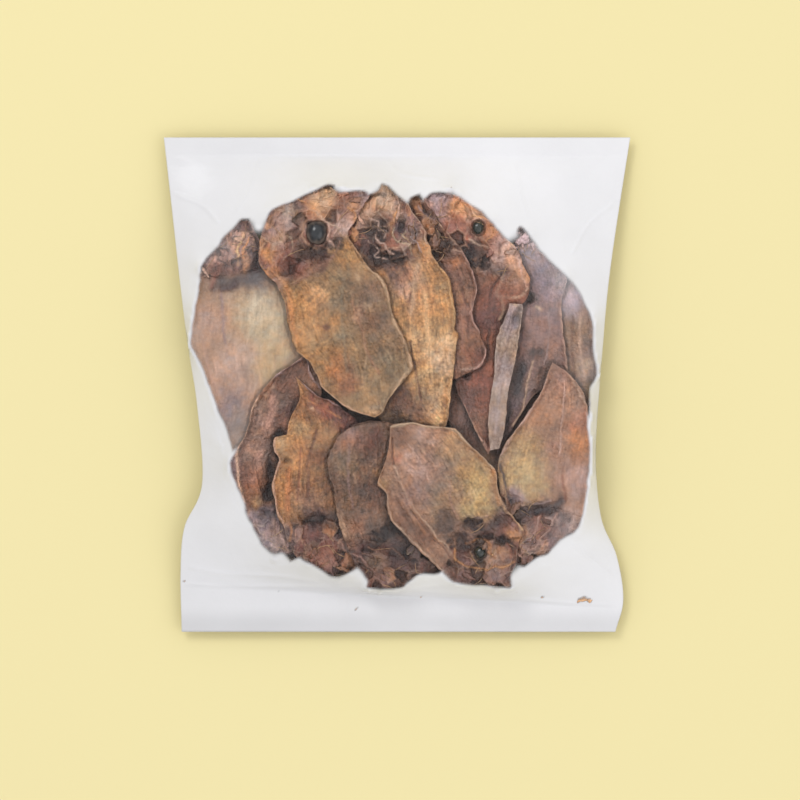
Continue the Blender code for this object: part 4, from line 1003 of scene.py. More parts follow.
def quads(number):  # the faces of a grid of point numbers
    return np.stack([number[:-1, :-1], number[:-1, 1:], number[1:, 1:], number[1:, :-1]], -1).reshape(-1, 4)


def fishMesh(name, plan, f, bottom, paint, facing):
    rows, columns = f.x.shape
    number = np.arange(rows * columns).reshape(rows, columns)
    border = np.zeros((rows, columns), bool)
    border[[0, -1]] = True
    border[:, [0, -1]] = True
    under = number + rows * columns
    under[border] = number[border]
    top = f.top
    if facing < 0:
        top, bottom = fishLook["midLevel"] - top, fishLook["midLevel"] - bottom
    points = np.concatenate([np.stack([f.x, f.y, z], -1).reshape(-1, 3) for z in (top, bottom)])
    # the inner face gets the same paint darker by a fifth: painted shade for the face turned into the heap
    color = np.concatenate([paint.reshape(-1, 3), paint.reshape(-1, 3) * 0.8])
    fibre = np.stack([f.u.ravel(), f.v.ravel(), f.u.ravel() * 0], 1)
    faces = np.concatenate([quads(number), quads(under)[:, ::-1]])
    grit = np.clip(plan.get("grit", 0.6) * (0.75 + 0.5 * f.lively) + 0.5 * f.worn, 0.1, 1)
    grit = (grit * (1 - f.head) + 2 * f.head).ravel()  # from 1 to 2 it is the head's
    return tidied(newPiece(name, points, faces, color, np.tile(fibre, (2, 1)), np.tile(grit, 2)))


def addStrands(f, neck, facing, seed):  # bone threads over the gills and the head
    draw = random.Random(seed)
    spots = np.argwhere((f.t > neck - 0.01) & (f.inside > 2.0) & (f.t < 0.97))
    for _ in range(9 if facing > 0 else 6):
        i, j = spots[draw.randrange(len(spots))]
        aim, bend = draw.uniform(0, 2 * math.pi), draw.uniform(-0.16, 0.16)
        steps = draw.randint(5, 10)
        px, py = f.x[i, j], f.y[i, j]
        line = []
        for k in range(steps):
            near = np.argmin((f.x - px) ** 2 + (f.y - py) ** 2)
            if f.inside.flat[near] < 0.8:
                break
            lift = f.top.flat[near] + 0.1 + 0.5 * math.sin(math.pi * k / (steps - 1))
            line.append((px, py, lift if facing > 0 else min(lift, fishLook["lowerLimit"] - 0.1)))
            px += 1.1 * math.cos(aim)
            py += 1.1 * math.sin(aim)
            aim += bend + draw.uniform(-0.12, 0.12)
        if len(line) > 3:
            strands.append((line, draw.uniform(0.1, 0.22), facing))


def addFlakes(f, heights, paint, facing, seed):  # thin, bent bone plates
    draw = random.Random(seed + 1)
    spots = np.argwhere((f.head > 0.9) & (f.inside > 1.2) & (f.socket < 0.1) & (f.t < 0.985))
    rings, sides = 3, 18
    for _ in range(7 if facing > 0 else 5):
        i, j = spots[draw.randrange(len(spots))]
        size = draw.uniform(1.4, 4.2)
        if f.inside[i, j] < size:
            size = max(1.1, f.inside[i, j])
        aspect, turn = draw.uniform(0.3, 0.75), draw.uniform(0, math.pi)
        tiltX, tiltY, bow = draw.uniform(-0.3, 0.3), draw.uniform(-0.3, 0.3), draw.uniform(-0.2, 0.05)
        phase = [draw.uniform(0, 6.3) for _ in range(3)]
        points, shades = [], []
        base = paint[i, j] * draw.uniform(0.7, 1.15)
        edge = base * 0.5 + 0.5 * toLinear(palette[draw.choice(["rim", "tan", "orange", "grey", "russet"])])
        for layer in (1, -1):
            for ring in range(rings + 1):
                share = ring / rings
                for side in range(sides):
                    a = 2 * math.pi * side / sides
                    wobble = 1 + 0.28 * math.sin(2 * a + phase[0]) + 0.2 * math.sin(3 * a + phase[1])
                    wobble += 0.16 * math.sin(7 * a + phase[2])
                    px = size * share * wobble * math.cos(a)
                    py = size * share * wobble * aspect * math.sin(a)
                    qx = px * math.cos(turn) - py * math.sin(turn)
                    qy = px * math.sin(turn) + py * math.cos(turn)
                    lift = 0.4 + 0.18 * layer * (1 - share**3) + tiltX * px + tiltY * py + bow * py * py
                    points.append((f.x[i, j] + qx, f.y[i, j] + qy, lift))
                    shades.append(base * (1 - share**6) + edge * share**6)
        points = np.array(points)
        points[:, 2] += f.top[i, j] - min(0, 0.5 * points[:, 2].min())
        if facing < 0:
            points[:, 2] = np.minimum(points[:, 2], fishLook["lowerLimit"] + 0.1)
        level = points[: (rings + 1) * sides].reshape(rings + 1, sides, 3)
        raiseMap(heights, *(level[..., k] for k in range(3)))
        if facing < 0:
            points[:, 2] = fishLook["midLevel"] - points[:, 2]
        number = np.arange(2 * (rings + 1) * sides).reshape(2, rings + 1, sides)
        number[1, -1] = number[0, -1]
        wrapped = np.concatenate([number, number[:, :, :1]], 2)
        faces = np.concatenate([quads(wrapped[0]), quads(wrapped[1])[:, ::-1]])
        flakes.append((points, faces, np.array(shades)))


print("stage 1: heap of fish")
upperMap = emptyMap(fishLook["upperFloor"])
fishPieces = []
for number, (name, plan) in enumerate({**plannedFillers(), **frontFish}.items()):
    pitch = fishLook["backPitch"] * 1.5 if name.startswith("filler") else fishLook["frontPitch"]
    fishPieces.append(shapeFish(name, plan, upperMap, pitch, 1, 100 + 60 * number))
findOutline(upperMap)
for ex, ey, level, rx, ry, cloud, facing in eyes:
    ring, turn = np.meshgrid(np.linspace(0, 1, 6), np.linspace(0, 2 * math.pi, 24))
    dome = level + eyeBulge * ry * np.sqrt(1 - 0.9 * ring**2)
    raiseMap(upperMap, ex + rx * ring * np.cos(turn), ey + ry * ring * np.sin(turn), dome)
lowerMap = emptyMap(fishLook["lowerFloor"])
for number, (name, plan) in enumerate(plannedBack().items()):
    fishPieces.append(shapeFish(name, plan, lowerMap, fishLook["backPitch"], -1, 1900 + 60 * number))
print("  fish:", len(fishPieces), "heap top", round(float(upperMap.max()), 1), "mm")


def shapeFlakes():
    points, faces, shades, count = [], [], [], 0
    for plate, ring, shade in flakes:
        points.append(plate)
        faces.append(ring + count)
        shades.append(shade)
        count += len(plate)
    points = np.concatenate(points)
    return tidied(newPiece("bonePlates", points, np.concatenate(faces), np.concatenate(shades), points))


# painted shade where a fish goes under its neighbour, and painted light, a pale rimPink, on the free rim of
# the heap
def paintShadeAndRimLight():  # where a fish goes under its neighbour, and pale where its rim is free
    near = blurred(widened(upperMap, 1), 1)
    bare = blurred((upperMap < fishLook["upperFloor"] + 0.5).astype(float), 2)
    for piece in fishPieces[:len(plannedFillers()) + len(frontFish)]:
        mesh = piece.data
        places, color = np.empty(3 * len(mesh.vertices)), np.empty(4 * len(mesh.vertices))
        mesh.vertices.foreach_get("co", places)
        mesh.attributes["tone"].data.foreach_get("color", color)
        places, color = places.reshape(-1, 3) / mm, color.reshape(-1, 4)
        covered = mapAt(near, places[:, 0], places[:, 1]) - places[:, 2]
        free = mapAt(bare, places[:, 0], places[:, 1])
        # painted shade under a neighbour's edge, fading where the rim is free
        dark = 0.45 * smoothStep(covered, 0.9, 3.0) * (1 - smoothStep(free, 0.0, 0.15))
        color[:, :3] *= 1 - dark[:, None]
        # painted light: the free rim of the heap paled towards rimPink
        color[:, :3] = mixed(color[:, :3], palette["rimPink"], 0.5 * smoothStep(free, 0.08, 0.5))
        mesh.attributes["tone"].data.foreach_set("color", color.ravel())


paintShadeAndRimLight()
bonePlates = shapeFlakes()
lowerMap = np.minimum(lowerMap, fishLook["lowerLimit"] + 0.2)


def gridPlaces(fine):  # the plan of a film: rows from the foot to the head of the bag
    b = bagLook
    rows, columns = fine * b["rows"], fine * b["columns"]
    across = np.linspace(-1, 1, columns + 1)
    across = 0.85 * across + 0.15 * np.sin(across * math.pi / 2)
    share = np.linspace(0, 1, rows + 1)[:, None] * np.ones((1, columns + 1))
    across = across[None, :] * np.ones((rows + 1, 1))
    footSeal = b["footSealLeft"] + (b["footSealRight"] - b["footSealLeft"]) * (across + 1) / 2
    footShare, headShare = b["footRows"] / b["rows"], b["headRows"] / b["rows"]
    foot = -b["height"] / 2 + footSeal * np.clip(share / footShare, 0, 1)
    between = np.clip((share - footShare) / (1 - footShare - headShare), 0, 1)
    middle = (b["height"] - footSeal - b["headSeal"]) * between
    y = foot + middle + b["headSeal"] * np.clip((share - 1 + headShare) / headShare, 0, 1)
    width = np.where(across > 0, station(b["rightFold"], y), station(b["leftFold"], y))
    held = (share <= footShare + 1e-6) | (share >= 1 - headShare - 1e-6)
    held[:, [0, -1]] = True
    return across * width, y, held


def edgeLevel(y):
    b = bagLook
    along = np.minimum(1, np.abs(y) / (b["height"] / 2 - b["headSeal"]))
    return b["bandLevel"] + (b["foldLevel"] - b["bandLevel"]) * (1 - along**3) ** 2


def drawnTaut(levels, held, pushed, film, rounds):
    for _ in range(rounds):
        around = film.copy()
        around[1:-1, 1:-1] = (film[2:, 1:-1] + film[:-2, 1:-1] + film[1:-1, 2:] + film[1:-1, :-2]) / 4
        film = np.where(held, levels, np.maximum(around, pushed))
    return film


def heapCover(inset):  # 1 over the upper fish and 0 outside them, drawn in by some cells
    there = (upperMap > fishLook["upperFloor"] + 0.5).astype(float)
    return blurred(1 - widened(1 - widened(there, 3), 3 + inset), 3)


def rimDepth(x, y):  # mm in from the outline of the heap, below 0 outside it
    depth = np.full(x.shape, -30.0)
    for ring in rims:
        low, high = ring.min(0) - 8, ring.max(0) + 8
        near = (x > low[0]) & (x < high[0]) & (y > low[1]) & (y < high[1])
        px, py = x[near], y[near]
        far, within = np.full(px.shape, 1e9), np.zeros(px.shape, bool)
        for (ax, ay), (bx, by) in zip(ring, np.roll(ring, -1, 0)):
            dx, dy = bx - ax, by - ay
            k = np.clip(((px - ax) * dx + (py - ay) * dy) / (dx * dx + dy * dy + 1e-9), 0, 1)
            far = np.minimum(far, (px - ax - k * dx) ** 2 + (py - ay - k * dy) ** 2)
            if dy:
                within ^= ((ay > py) != (by > py)) & (px < ax + (py - ay) * dx / dy)
        depth[near] = np.maximum(depth[near], np.where(within, 1, -1) * np.sqrt(far))
    return depth


def filmHaze(x, y, clearance, facing):
    b = bagLook
    cloud = 0.75 + 0.35 * layeredNoise(x, y, 40, 77, 2)
    haze = b["contactHaze"] + b["airHaze"] * smoothStep(clearance, 1.0, 9) * cloud
    if facing < 0:
        on = mapAt(heapCover(5), x, y)
        return haze * on + b["backHaze"] * (1 - on)
    for px, py, radius, amount in b["mistAndGlare"]:
        patch = np.exp(-(((x - px) ** 2 + (y - py) ** 2) / radius**2))
        patch = patch * (1 + 0.5 * layeredNoise(x, y, 9, 78, 3))
        haze = haze + amount * patch
    outside = smoothStep(-rimDepth(x, y), -1.6, 0.2) * (1 - mapAt(heapCover(3), x, y))
    haze = haze * (1 - outside) + b["marginHaze"] * outside
    for px, py, long, wide, turn in crumbLook:  # the films lie close over the crumbs
        along = ((x - px) * math.cos(turn) + (y - py) * math.sin(turn)) / (long + 0.2)
        aside = ((y - py) * math.cos(turn) - (x - px) * math.sin(turn)) / (wide + 0.2)
        haze = haze * (1 - 0.85 * smoothStep(1.0 - np.hypot(along, aside), 0, 0.4))
    return haze


def shapeFilm(facing):
    b = bagLook
    heights, floor = (upperMap, "upperFloor") if facing > 0 else (lowerMap, "lowerFloor")
    there = heights > fishLook[floor] + 0.5
    near = widened(np.where(there, heights, -50), 4)
    surface = np.where(there, widened(np.where(there, heights, -50), 1), -50.0)
    film = None
    for fine, rounds in zip((1, 2) if facing > 0 else (1,), b["stretchRounds"]):
        x, y, held = gridPlaces(fine)
        level = edgeLevel(y)
        level = (level if facing > 0 else fishLook["midLevel"] - level) + b["bandGap"] / 2
        pushed = np.maximum.reduce([mapAt(surface, x + dx, y + dy)
                                    for dx in (-0.6, 0.6) for dy in (-0.6, 0.6)])
        pushed = np.where(held, -50, pushed + b["filmGap"])
        start = level if film is None else doubled(film)
        film = drawnTaut(level, held, pushed, np.maximum(start, pushed), rounds)
    clearance = film - mapAt(near, x, y)
    free = smoothStep(np.minimum(np.abs(x - x[:, :1]), np.abs(x - x[:, -1:])), 0, 6)
    loose = smoothStep(clearance, 0.6, 4) * free
    wrinkle = 0.5 * np.clip(layeredNoise(x * 0.6 + y * 0.3, y, 15, 71 + facing, 3), -0.2, 1)
    for width, height, points in b["creases"]:
        wrinkle = wrinkle + height * np.exp(-((lineDistance(x, y, points) / width) ** 2))
    z = film + wrinkle * loose * (~held)
    if facing < 0:
        z = np.maximum(fishLook["midLevel"] - z, 0.05)
    # the milk tone is painted light and shade that evens out how the lamps fall on the film: lighter on
    # steep rows, darker to the left, over the lower margin and at the foot
    milk = 1 + 0.05 * smoothStep(np.abs(np.gradient(z, axis=0)), 0.1, 0.7) - 0.08 * smoothStep(-x, -40, 100)
    milk = milk - b["shade"][0] * smoothStep(-y, 60, 100) - b["shade"][1] * smoothStep(-y, 111, 121)
    return x, y, z, filmHaze(x, y, clearance, facing), milk


def borderLoop(number):
    return np.concatenate([number[0, :-1], number[:-1, -1], number[-1, :0:-1], number[:0:-1, 0]])


def filmMesh():  # both films in one closed mesh, joined all round the edge
    upper, lower = shapeFilm(1), shapeFilm(-1)
    above = np.arange(upper[0].size).reshape(upper[0].shape)
    below = np.arange(lower[0].size).reshape(lower[0].shape) + upper[0].size
    faces = quads(above).tolist() + quads(below)[:, ::-1].tolist()
    fine, coarse = borderLoop(above), borderLoop(below)
    for k in range(len(coarse)):
        after = (k + 1) % len(coarse)
        faces.append([fine[2 * after], fine[2 * k + 1], fine[2 * k], coarse[k], coarse[after]])
    points = np.concatenate([np.stack(sheet[:3], -1).reshape(-1, 3) for sheet in (upper, lower)])
    milk = np.concatenate([sheet[4].ravel() for sheet in (upper, lower)])[:, None] * bagLook["milk"]
    piece = newPiece("film", points, faces, milk)
    haze = np.concatenate([upper[3].ravel(), lower[3].ravel()]).astype(np.float32)
    piece.data.attributes.new("haze", "FLOAT", "POINT").data.foreach_set("value", haze)
    return tidied(piece), upper


# x, y, half length, half width and turn of the crumbs in the bag's margin
crumbLook = [(93.5, -108, 2.4, 1.3, 0.3), (96.6, -108.4, 1.7, 1.0, -0.6), (91.5, -108.6, 1.2, 0.8, 1.0),
             (73, -106.8, 0.7, 0.5, 0.2), (-20.5, -113, 0.8, 0.5, 0.9), (-107, -99, 0.6, 0.4, 0.0),
             (60, -104, 0.4, 0.3, 0.5), (12, -107, 0.35, 0.3, 0.4), (-60, -104, 0.4, 0.25, 1.2)]
film, (filmX, filmY, filmZ, *_) = filmMesh()
print("stage 2: film drawn over the heap,", len(film.data.polygons), "faces")


def added(nodes, kind, values=None, **settings):  # a node with its settings and input values
    node = nodes.new(kind)
    for label, value in settings.items():
        setattr(node, label, value)
    for label, value in (values or {}).items():
        node.inputs[label].default_value = value
    return node


def objectNoise(nodes, link, scale, detail=2):  # noise fixed to the piece
    place = nodes.new("ShaderNodeTexCoord")
    noise = added(nodes, "ShaderNodeTexNoise", {"Scale": scale, "Detail": detail})
    link(place.outputs["Object"], noise.inputs["Vector"])
    return noise.outputs["Fac"]


def varied(nodes, link, source, low, high):  # a noise spread from low to high
    spread = added(nodes, "ShaderNodeMapRange", {"To Min": low, "To Max": high})
    link(source, spread.inputs["Value"])
    return spread.outputs["Result"]


# Bone threads: one tree turns drawn lines into tapered, knotted tubes
def strandTree():
    tree = bpy.data.node_groups.new("boneThreads", "GeometryNodeTree")
    face = tree.interface
    face.new_socket("Geometry", in_out="INPUT", socket_type="NodeSocketGeometry")
    sizes = {}
    for label, value in (("Thickness", 1.0), ("Wander", 0.0002), ("Step", 0.0006)):
        socket = face.new_socket(label, in_out="INPUT", socket_type="NodeSocketFloat")
        socket.default_value = value
        sizes[label] = socket.identifier
    matter = face.new_socket("Material", in_out="INPUT", socket_type="NodeSocketMaterial")
    face.new_socket("Geometry", in_out="OUTPUT", socket_type="NodeSocketGeometry")
    nodes, link = tree.nodes, tree.links.new
    source, result = nodes.new("NodeGroupInput"), nodes.new("NodeGroupOutput")
    curves = nodes.new("GeometryNodeMeshToCurve")
    smooth = added(nodes, "GeometryNodeCurveSplineType", spline_type="CATMULL_ROM")
    resample = added(nodes, "GeometryNodeResampleCurve", mode="LENGTH")
    wander = added(nodes, "ShaderNodeTexNoise", {"Scale": 420})
    centred = added(nodes, "ShaderNodeVectorMath", {1: (0.5, 0.5, 0.5)}, operation="SUBTRACT")
    scaled = added(nodes, "ShaderNodeVectorMath", operation="SCALE")
    move = nodes.new("GeometryNodeSetPosition")
    thick = added(nodes, "GeometryNodeInputNamedAttribute", {"Name": "thick"}, data_type="FLOAT")
    along = nodes.new("GeometryNodeSplineParameter")
    taper = nodes.new("ShaderNodeFloatCurve")
    curve = taper.mapping.curves[0]
    curve.points[0].location = (0, 0.35)
    curve.points[1].location = (1, 0.12)
    curve.points.new(0.3, 1.0)
    taper.mapping.update()
    swell = added(nodes, "ShaderNodeMath", operation="MULTIPLY")
    widen = added(nodes, "ShaderNodeMath", operation="MULTIPLY")
    profile = added(nodes, "GeometryNodeCurvePrimitiveCircle", {"Resolution": 6, "Radius": 1.0})
    tube = added(nodes, "GeometryNodeCurveToMesh", {"Fill Caps": True})
    realize = nodes.new("GeometryNodeRealizeInstances")
    setMatter = nodes.new("GeometryNodeSetMaterial")
    for giver, output, taker, entry in (
            (source, "Geometry", curves, "Mesh"), (curves, "Curve", smooth, "Curve"),
            (smooth, "Curve", resample, "Curve"), (source, "Step", resample, "Length"),
            (resample, "Curve", move, "Geometry"), (wander, "Color", centred, 0),
            (centred, "Vector", scaled, 0), (source, "Wander", scaled, "Scale"),
            (scaled, "Vector", move, "Offset"), (move, "Geometry", tube, "Curve"),
            (along, "Factor", taper, "Value"), (taper, "Value", swell, 0), (thick, "Attribute", swell, 1),
            (swell, "Value", widen, 0), (source, "Thickness", widen, 1),
            (profile, "Curve", tube, "Profile Curve"), (widen, "Value", tube, "Scale"),
            (tube, "Mesh", realize, "Geometry"), (realize, "Geometry", setMatter, "Geometry"),
            (source, "Material", setMatter, "Material"), (setMatter, "Geometry", result, "Geometry")):
        link(giver.outputs[output], taker.inputs[entry])
    sizes["Material"] = matter.identifier
    return tree, sizes


def grownThreads(name, lines, material, thickness, wander):
    points, edges, thick = [], [], []
    for line, radius, facing in lines:
        start = len(points)
        for x, y, z in line:
            points.append((x * mm, y * mm, (z if facing > 0 else fishLook["midLevel"] - z) * mm))
            thick.append(radius * mm)
        edges += [(start + k, start + k + 1) for k in range(len(line) - 1)]
    mesh = bpy.data.meshes.new(name + "Lines")
    mesh.from_pydata(points, edges, [])
    mesh.attributes.new("thick", "FLOAT", "POINT").data.foreach_set("value", thick)
    guide = placed(name + "Lines", mesh)
    tree, sizes = strandTree()
    modifier = guide.modifiers.new("threads", "NODES")
    modifier.node_group = tree
    modifier[sizes["Thickness"]] = thickness
    modifier[sizes["Wander"]] = wander
    modifier[sizes["Material"]] = material
    bpy.context.view_layer.update()
    made = bpy.data.meshes.new_from_object(guide.evaluated_get(bpy.context.evaluated_depsgraph_get()))
    bpy.data.objects.remove(guide)
    made.name = name
    made.shade_smooth()
    return placed(name, made)


def principled(name):
    material = bpy.data.materials.new(name)
    material.use_nodes = True
    tree = material.node_tree
    return material, tree.nodes, tree.links.new, tree.nodes["Principled BSDF"]


def grainGroup():  # grain and mottling shared by flesh, skin and bone
    tree = bpy.data.node_groups.new("dryGrain", "ShaderNodeTree")
    face = tree.interface
    for label, kind, value in (("Color", "NodeSocketColor", (1, 1, 1, 1)),
                               ("Fibre", "NodeSocketVector", None), ("Place", "NodeSocketVector", None),
                               ("Amount", "NodeSocketFloat", 1.0),
                               ("Mottle", "NodeSocketFloat", 0.3), ("Streak", "NodeSocketFloat", 0.3),
                               ("Rough", "NodeSocketFloat", 0.5)):
        socket = face.new_socket(label, in_out="INPUT", socket_type=kind)
        if value is not None:
            socket.default_value = value
    face.new_socket("Color", in_out="OUTPUT", socket_type="NodeSocketColor")
    face.new_socket("Roughness", in_out="OUTPUT", socket_type="NodeSocketFloat")
    face.new_socket("Height", in_out="OUTPUT", socket_type="NodeSocketFloat")
    nodes, link = tree.nodes, tree.links.new
    source, result = nodes.new("NodeGroupInput"), nodes.new("NodeGroupOutput")

    def noise(vector, scale, detail, stretch=None):
        if stretch:
            mapping = added(nodes, "ShaderNodeMapping", {"Scale": stretch})
            link(vector, mapping.inputs["Vector"])
            vector = mapping.outputs["Vector"]
        made = added(nodes, "ShaderNodeTexNoise", {"Scale": scale, "Detail": detail})
        link(vector, made.inputs["Vector"])
        return made.outputs["Fac"]

    def combined(operation, a, b):
        made = added(nodes, "ShaderNodeMath", operation=operation)
        for k, value in enumerate((a, b)):
            if isinstance(value, (int, float)):
                made.inputs[k].default_value = value
            else:
                link(value, made.inputs[k])
        return made.outputs["Value"]

    place, fibre, amount = (source.outputs[label] for label in ("Place", "Fibre", "Amount"))
    mottle = noise(place, 190, 6)
    streak = noise(fibre, 850, 5, (1.0, 0.12, 1.0))
    pores = noise(place, 1300, 3)
    cells = added(nodes, "ShaderNodeTexVoronoi", {"Scale": 620})
    link(place, cells.inputs["Vector"])
    shade = combined("MULTIPLY", combined("SUBTRACT", mottle, 0.5), source.outputs["Mottle"])
    line = combined("MULTIPLY", combined("SUBTRACT", streak, 0.5), source.outputs["Streak"])
    grit = combined("MULTIPLY", combined("SUBTRACT", 0.45, cells.outputs["Distance"]), 0.3)
    grit = combined("ADD", grit, combined("MULTIPLY", combined("SUBTRACT", pores, 0.5), 0.2))
    onHead = combined("MAXIMUM", combined("SUBTRACT", amount, 1.0), 0.0)
    amount = combined("SUBTRACT", combined("MINIMUM", amount, 1.0), combined("MULTIPLY", onHead, 0.4))
    # sharp crests over the head
    torn = added(nodes, "ShaderNodeTexNoise",
                 {"Scale": 120, "Detail": 4, "Distortion": 1.2}, noise_type="RIDGED_MULTIFRACTAL")
    link(place, torn.inputs["Vector"])
    crests = combined("MULTIPLY", combined("SUBTRACT", torn.outputs["Fac"], 0.12), onHead)
    total = combined("MULTIPLY", combined("ADD", combined("ADD", shade, line), grit), amount)
    total = combined("ADD", total, combined("MULTIPLY", crests, 0.3))
    total = combined("ADD", combined("MULTIPLY", total, 2.0), 1.0)
    tint = added(nodes, "ShaderNodeVectorMath", operation="SCALE")
    link(source.outputs["Color"], tint.inputs[0])
    link(total, tint.inputs["Scale"])
    link(tint.outputs["Vector"], result.inputs["Color"])
    uneven = combined("MULTIPLY", combined("SUBTRACT", mottle, 0.5), 0.5)
    rough = combined("ADD", source.outputs["Rough"], uneven)
    link(rough, result.inputs["Roughness"])
    height = combined("ADD", combined("MULTIPLY", streak, 0.5), combined("MULTIPLY", pores, 0.4))
    height = combined("SUBTRACT", height, combined("MULTIPLY", cells.outputs["Distance"], 0.5))
    height = combined("MULTIPLY", combined("ADD", height, combined("MULTIPLY", mottle, 0.7)), amount)
    height = combined("ADD", height, crests)
    link(height, result.inputs["Height"])
    return tree


grain = grainGroup()


def dryMaterial(name, mottle, streak, rough, bump, color=None):
    material, nodes, link, shader = principled(name)
    group = added(nodes, "ShaderNodeGroup", node_tree=grain)
    place = nodes.new("ShaderNodeTexCoord")
    link(place.outputs["Object"], group.inputs["Place"])
    if color:
        group.inputs["Color"].default_value = (*toLinear(color), 1)
        link(place.outputs["Object"], group.inputs["Fibre"])
    else:
        tone = added(nodes, "ShaderNodeAttribute", attribute_name="tone")
        fibre = added(nodes, "ShaderNodeAttribute", attribute_name="fibre")
        link(tone.outputs["Color"], group.inputs["Color"])
        link(tone.outputs["Alpha"], group.inputs["Amount"])
        link(fibre.outputs["Vector"], group.inputs["Fibre"])
    group.inputs["Mottle"].default_value = mottle
    group.inputs["Streak"].default_value = streak
    group.inputs["Rough"].default_value = rough
    relief = added(nodes, "ShaderNodeBump", {"Strength": bump, "Distance": 0.0018})
    link(group.outputs["Height"], relief.inputs["Height"])
    link(group.outputs["Color"], shader.inputs["Base Color"])
    link(group.outputs["Roughness"], shader.inputs["Roughness"])
    link(relief.outputs["Normal"], shader.inputs["Normal"])
    return material


def eyeMaterial():
    material, nodes, link, shader = principled("driedEye")
    tone = added(nodes, "ShaderNodeAttribute", attribute_name="tone")
    cloud = objectNoise(nodes, link, 500)
    shade = added(nodes, "ShaderNodeVectorMath", operation="SCALE")
    link(tone.outputs["Color"], shade.inputs[0])
    link(varied(nodes, link, cloud, 0.5, 1.6), shade.inputs["Scale"])
    link(shade.outputs["Vector"], shader.inputs["Base Color"])
    link(varied(nodes, link, cloud, 0.05, 0.3), shader.inputs["Roughness"])
    shader.inputs["Specular IOR Level"].default_value = 0.5
    return material


def filmMaterial():  # clear, milky where there is haze, with a gloss over both
    b = bagLook
    material, nodes, link, shader = principled("clearFilm")
    material.surface_render_method = "BLENDED"
    haze = added(nodes, "ShaderNodeAttribute", attribute_name="haze")
    milk = added(nodes, "ShaderNodeMath", operation="MULTIPLY", use_clamp=True)
    link(haze.outputs["Fac"], milk.inputs[0])
    link(varied(nodes, link, objectNoise(nodes, link, 28, 3), 0.92, 1.08), milk.inputs[1])
    relief = added(nodes, "ShaderNodeBump", {"Strength": b["crinkle"], "Distance": 0.0006})
    link(objectNoise(nodes, link, 160, 4), relief.inputs["Height"])
    tone = added(nodes, "ShaderNodeAttribute", attribute_name="tone")
    link(tone.outputs["Color"], shader.inputs["Base Color"])
    shader.inputs["Roughness"].default_value = b["filmRough"]
    shader.inputs["Specular IOR Level"].default_value = 0.2
    clear = added(nodes, "ShaderNodeBsdfTransparent", {"Color": (0.99, 0.99, 0.99, 1)})
    gloss = added(nodes, "ShaderNodeBsdfGlossy", {"Roughness": b["glossRough"]})
    fresnel = added(nodes, "ShaderNodeFresnel", {"IOR": b["filmIndex"]})
    for bumped in (shader, gloss, fresnel):
        link(relief.outputs["Normal"], bumped.inputs["Normal"])
    milky, final = nodes.new("ShaderNodeMixShader"), nodes.new("ShaderNodeMixShader")
    link(milk.outputs["Value"], milky.inputs["Fac"])
    link(clear.outputs["BSDF"], milky.inputs[1])
    link(shader.outputs["BSDF"], milky.inputs[2])
    link(fresnel.outputs["Fac"], final.inputs["Fac"])
    link(milky.outputs["Shader"], final.inputs[1])
    link(gloss.outputs["BSDF"], final.inputs[2])
    link(final.outputs["Shader"], nodes["Material Output"].inputs["Surface"])
    return material


print("stage 3: finishes")
fleshMaterial = dryMaterial("dryFlesh", 0.5, 0.55, 0.44, 0.9)
plateMaterial = dryMaterial("dryPlate", 0.3, 0.1, 0.4, 0.6)
boneMaterial = dryMaterial("dryBone", 0.4, 0.2, 0.5, 0.4, (190, 152, 116))
crumbMaterial = dryMaterial("crumb", 0.3, 0.2, 0.6, 0.5, (206, 162, 122))
film.data.materials.append(filmMaterial())
bonePlates.data.materials.append(plateMaterial)
for piece in fishPieces:
    piece.data.materials.append(fleshMaterial)


def shapeEyes():
    around, across = 32, 14
    turn, fall = np.meshgrid(np.arange(around) * 2 * math.pi / around, np.linspace(0, math.pi, across)[1:-1])
    points, faces, shades = [], [], []
    for number, (x, y, z, rx, ry, cloud, facing) in enumerate(eyes):
        level = z if facing > 0 else fishLook["midLevel"] - z
        dent = 1 + 0.03 * softNoise(3 * np.cos(turn), 3 * np.sin(turn) + 9 * fall, 1.5, 60 + number)
        px = x + rx * dent * np.sin(fall) * np.cos(turn)
        py = y + ry * dent * np.sin(fall) * np.sin(turn)
        pz = level + eyeBulge * ry * dent * np.cos(fall)
        ball = np.stack([px, py, pz], -1).reshape(-1, 3)
        start = sum(len(part) for part in points)
        grid = np.arange(len(ball)).reshape(across - 2, around) + start
        grid = np.concatenate([grid, grid[:, :1]], 1)
        faces += quads(grid).tolist() + [grid[0, :-1][::-1].tolist(), grid[-1, :-1].tolist()]
        points.append(ball)
        ring = np.sin(fall) + 0.15 * softNoise(6 * turn, fall * 2, 2, 80 + number)
        ring = smoothStep(ring, 0.6, 0.98).reshape(-1, 1)
        pupil = np.array([0.017, 0.02, 0.024]) if cloud < 2 else toLinear(palette["greenBlack"]) * 1.15
        edge = toLinear(palette["grey" if cloud < 2 else "greenOlive"]) * 0.75
        shades.append(pupil * (1 - ring) + edge * ring)
    piece = newPiece("eyes", np.concatenate(points), faces, np.concatenate(shades))
    piece.data.materials.append(eyeMaterial())
    return tidied(piece)


eyePiece = shapeEyes()
bones = grownThreads("boneThreads", strands, boneMaterial, 1.0, 0.6 * mm)
print("stage 4: eyes", len(eyes), "bone threads", len(strands), "bone plates", len(flakes))


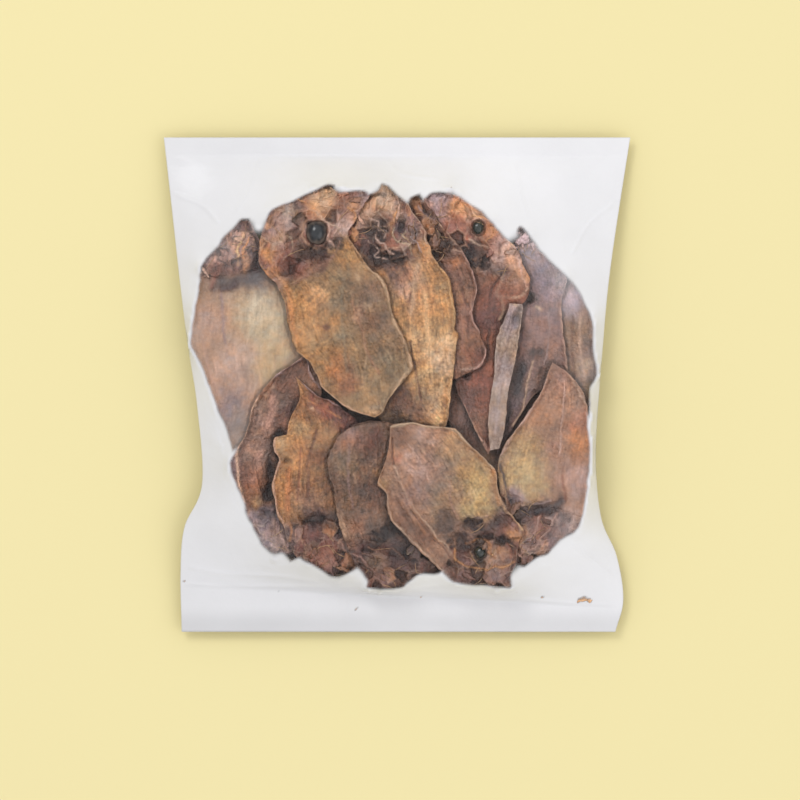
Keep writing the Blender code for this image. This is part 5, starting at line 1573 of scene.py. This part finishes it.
def shapeCrumbs():
    draw = random.Random(5)
    bm = bmesh.new()
    for x, y, long, wide, turn in crumbLook:
        near = np.argmin((filmX - x) ** 2 + (filmY - y) ** 2)
        made = bmesh.ops.create_icosphere(bm, subdivisions=3, radius=1)
        phase = draw.uniform(0, 6.3)
        for vert in made["verts"]:
            a = math.atan2(vert.co.y, vert.co.x)
            ragged = 1 + 0.22 * math.sin(3 * a + phase) + 0.16 * math.sin(7 * a + 2 * phase)
            px, py = vert.co.x * long * ragged, vert.co.y * wide * ragged
            vert.co = Vector((x + px * math.cos(turn) - py * math.sin(turn),
                              y + px * math.sin(turn) + py * math.cos(turn),
                              filmZ.flat[near] - 0.24 + 0.14 * vert.co.z)) * mm
    mesh = bpy.data.meshes.new("crumbs")
    bm.to_mesh(mesh)
    bm.free()
    mesh.shade_smooth()
    mesh.materials.append(crumbMaterial)
    return placed("crumbs", mesh)


crumbs = shapeCrumbs()

for piece in [film, *fishPieces, bonePlates, eyePiece, bones, crumbs]:
    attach(piece, "root")
    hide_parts("bag")


def setStage():
    look = stageLook
    bpy.ops.mesh.primitive_plane_add(size=6, location=(0, 0, -0.0003))
    floor = bpy.context.object
    floor.name = "floor"
    material, nodes, link, shader = principled("floorPaint")
    rough = varied(nodes, link, objectNoise(nodes, link, 3), 0.75, 0.85)
    link(rough, shader.inputs["Roughness"])
    shader.inputs["Base Color"].default_value = (*look["floorColor"], 1)
    shader.inputs["Specular IOR Level"].default_value = 0.1
    floor.data.materials.append(material)
    world = bpy.data.worlds.new("studio")
    world.use_nodes = True
    world.node_tree.nodes["Background"].inputs["Color"].default_value = (1, 1, 1, 1)
    world.node_tree.nodes["Background"].inputs["Strength"].default_value = look["skyStrength"]
    bpy.context.scene.world = world
    for name, place, size, power in (("key", (-0.8, 1.1, 1.9), 0.9, look["keyPower"]),
                                     ("fill", (1.1, -0.6, 1.5), 1.6, look["fillPower"])):
        data = bpy.data.lights.new(name, "AREA")
        data.size = size
        data.energy = power
        lamp = placed(name, data)
        lamp.location = place
        lamp.rotation_euler = Vector(place).to_track_quat("Z", "Y").to_euler()
    camera = bpy.data.cameras.new("camera")
    camera.sensor_width = 36
    camera.lens = 36 * (look["cameraHeight"] - look["heapLevel"]) / look["viewWidth"]
    camera.clip_end = 20
    eye = placed("camera", camera)
    eye.location = (look["viewCentre"][0] * mm, look["viewCentre"][1] * mm, look["cameraHeight"] * mm)
    bpy.context.scene.camera = eye
    bpy.context.scene.view_settings.view_transform = "Standard"


setStage()
print("stage 5: light and camera")
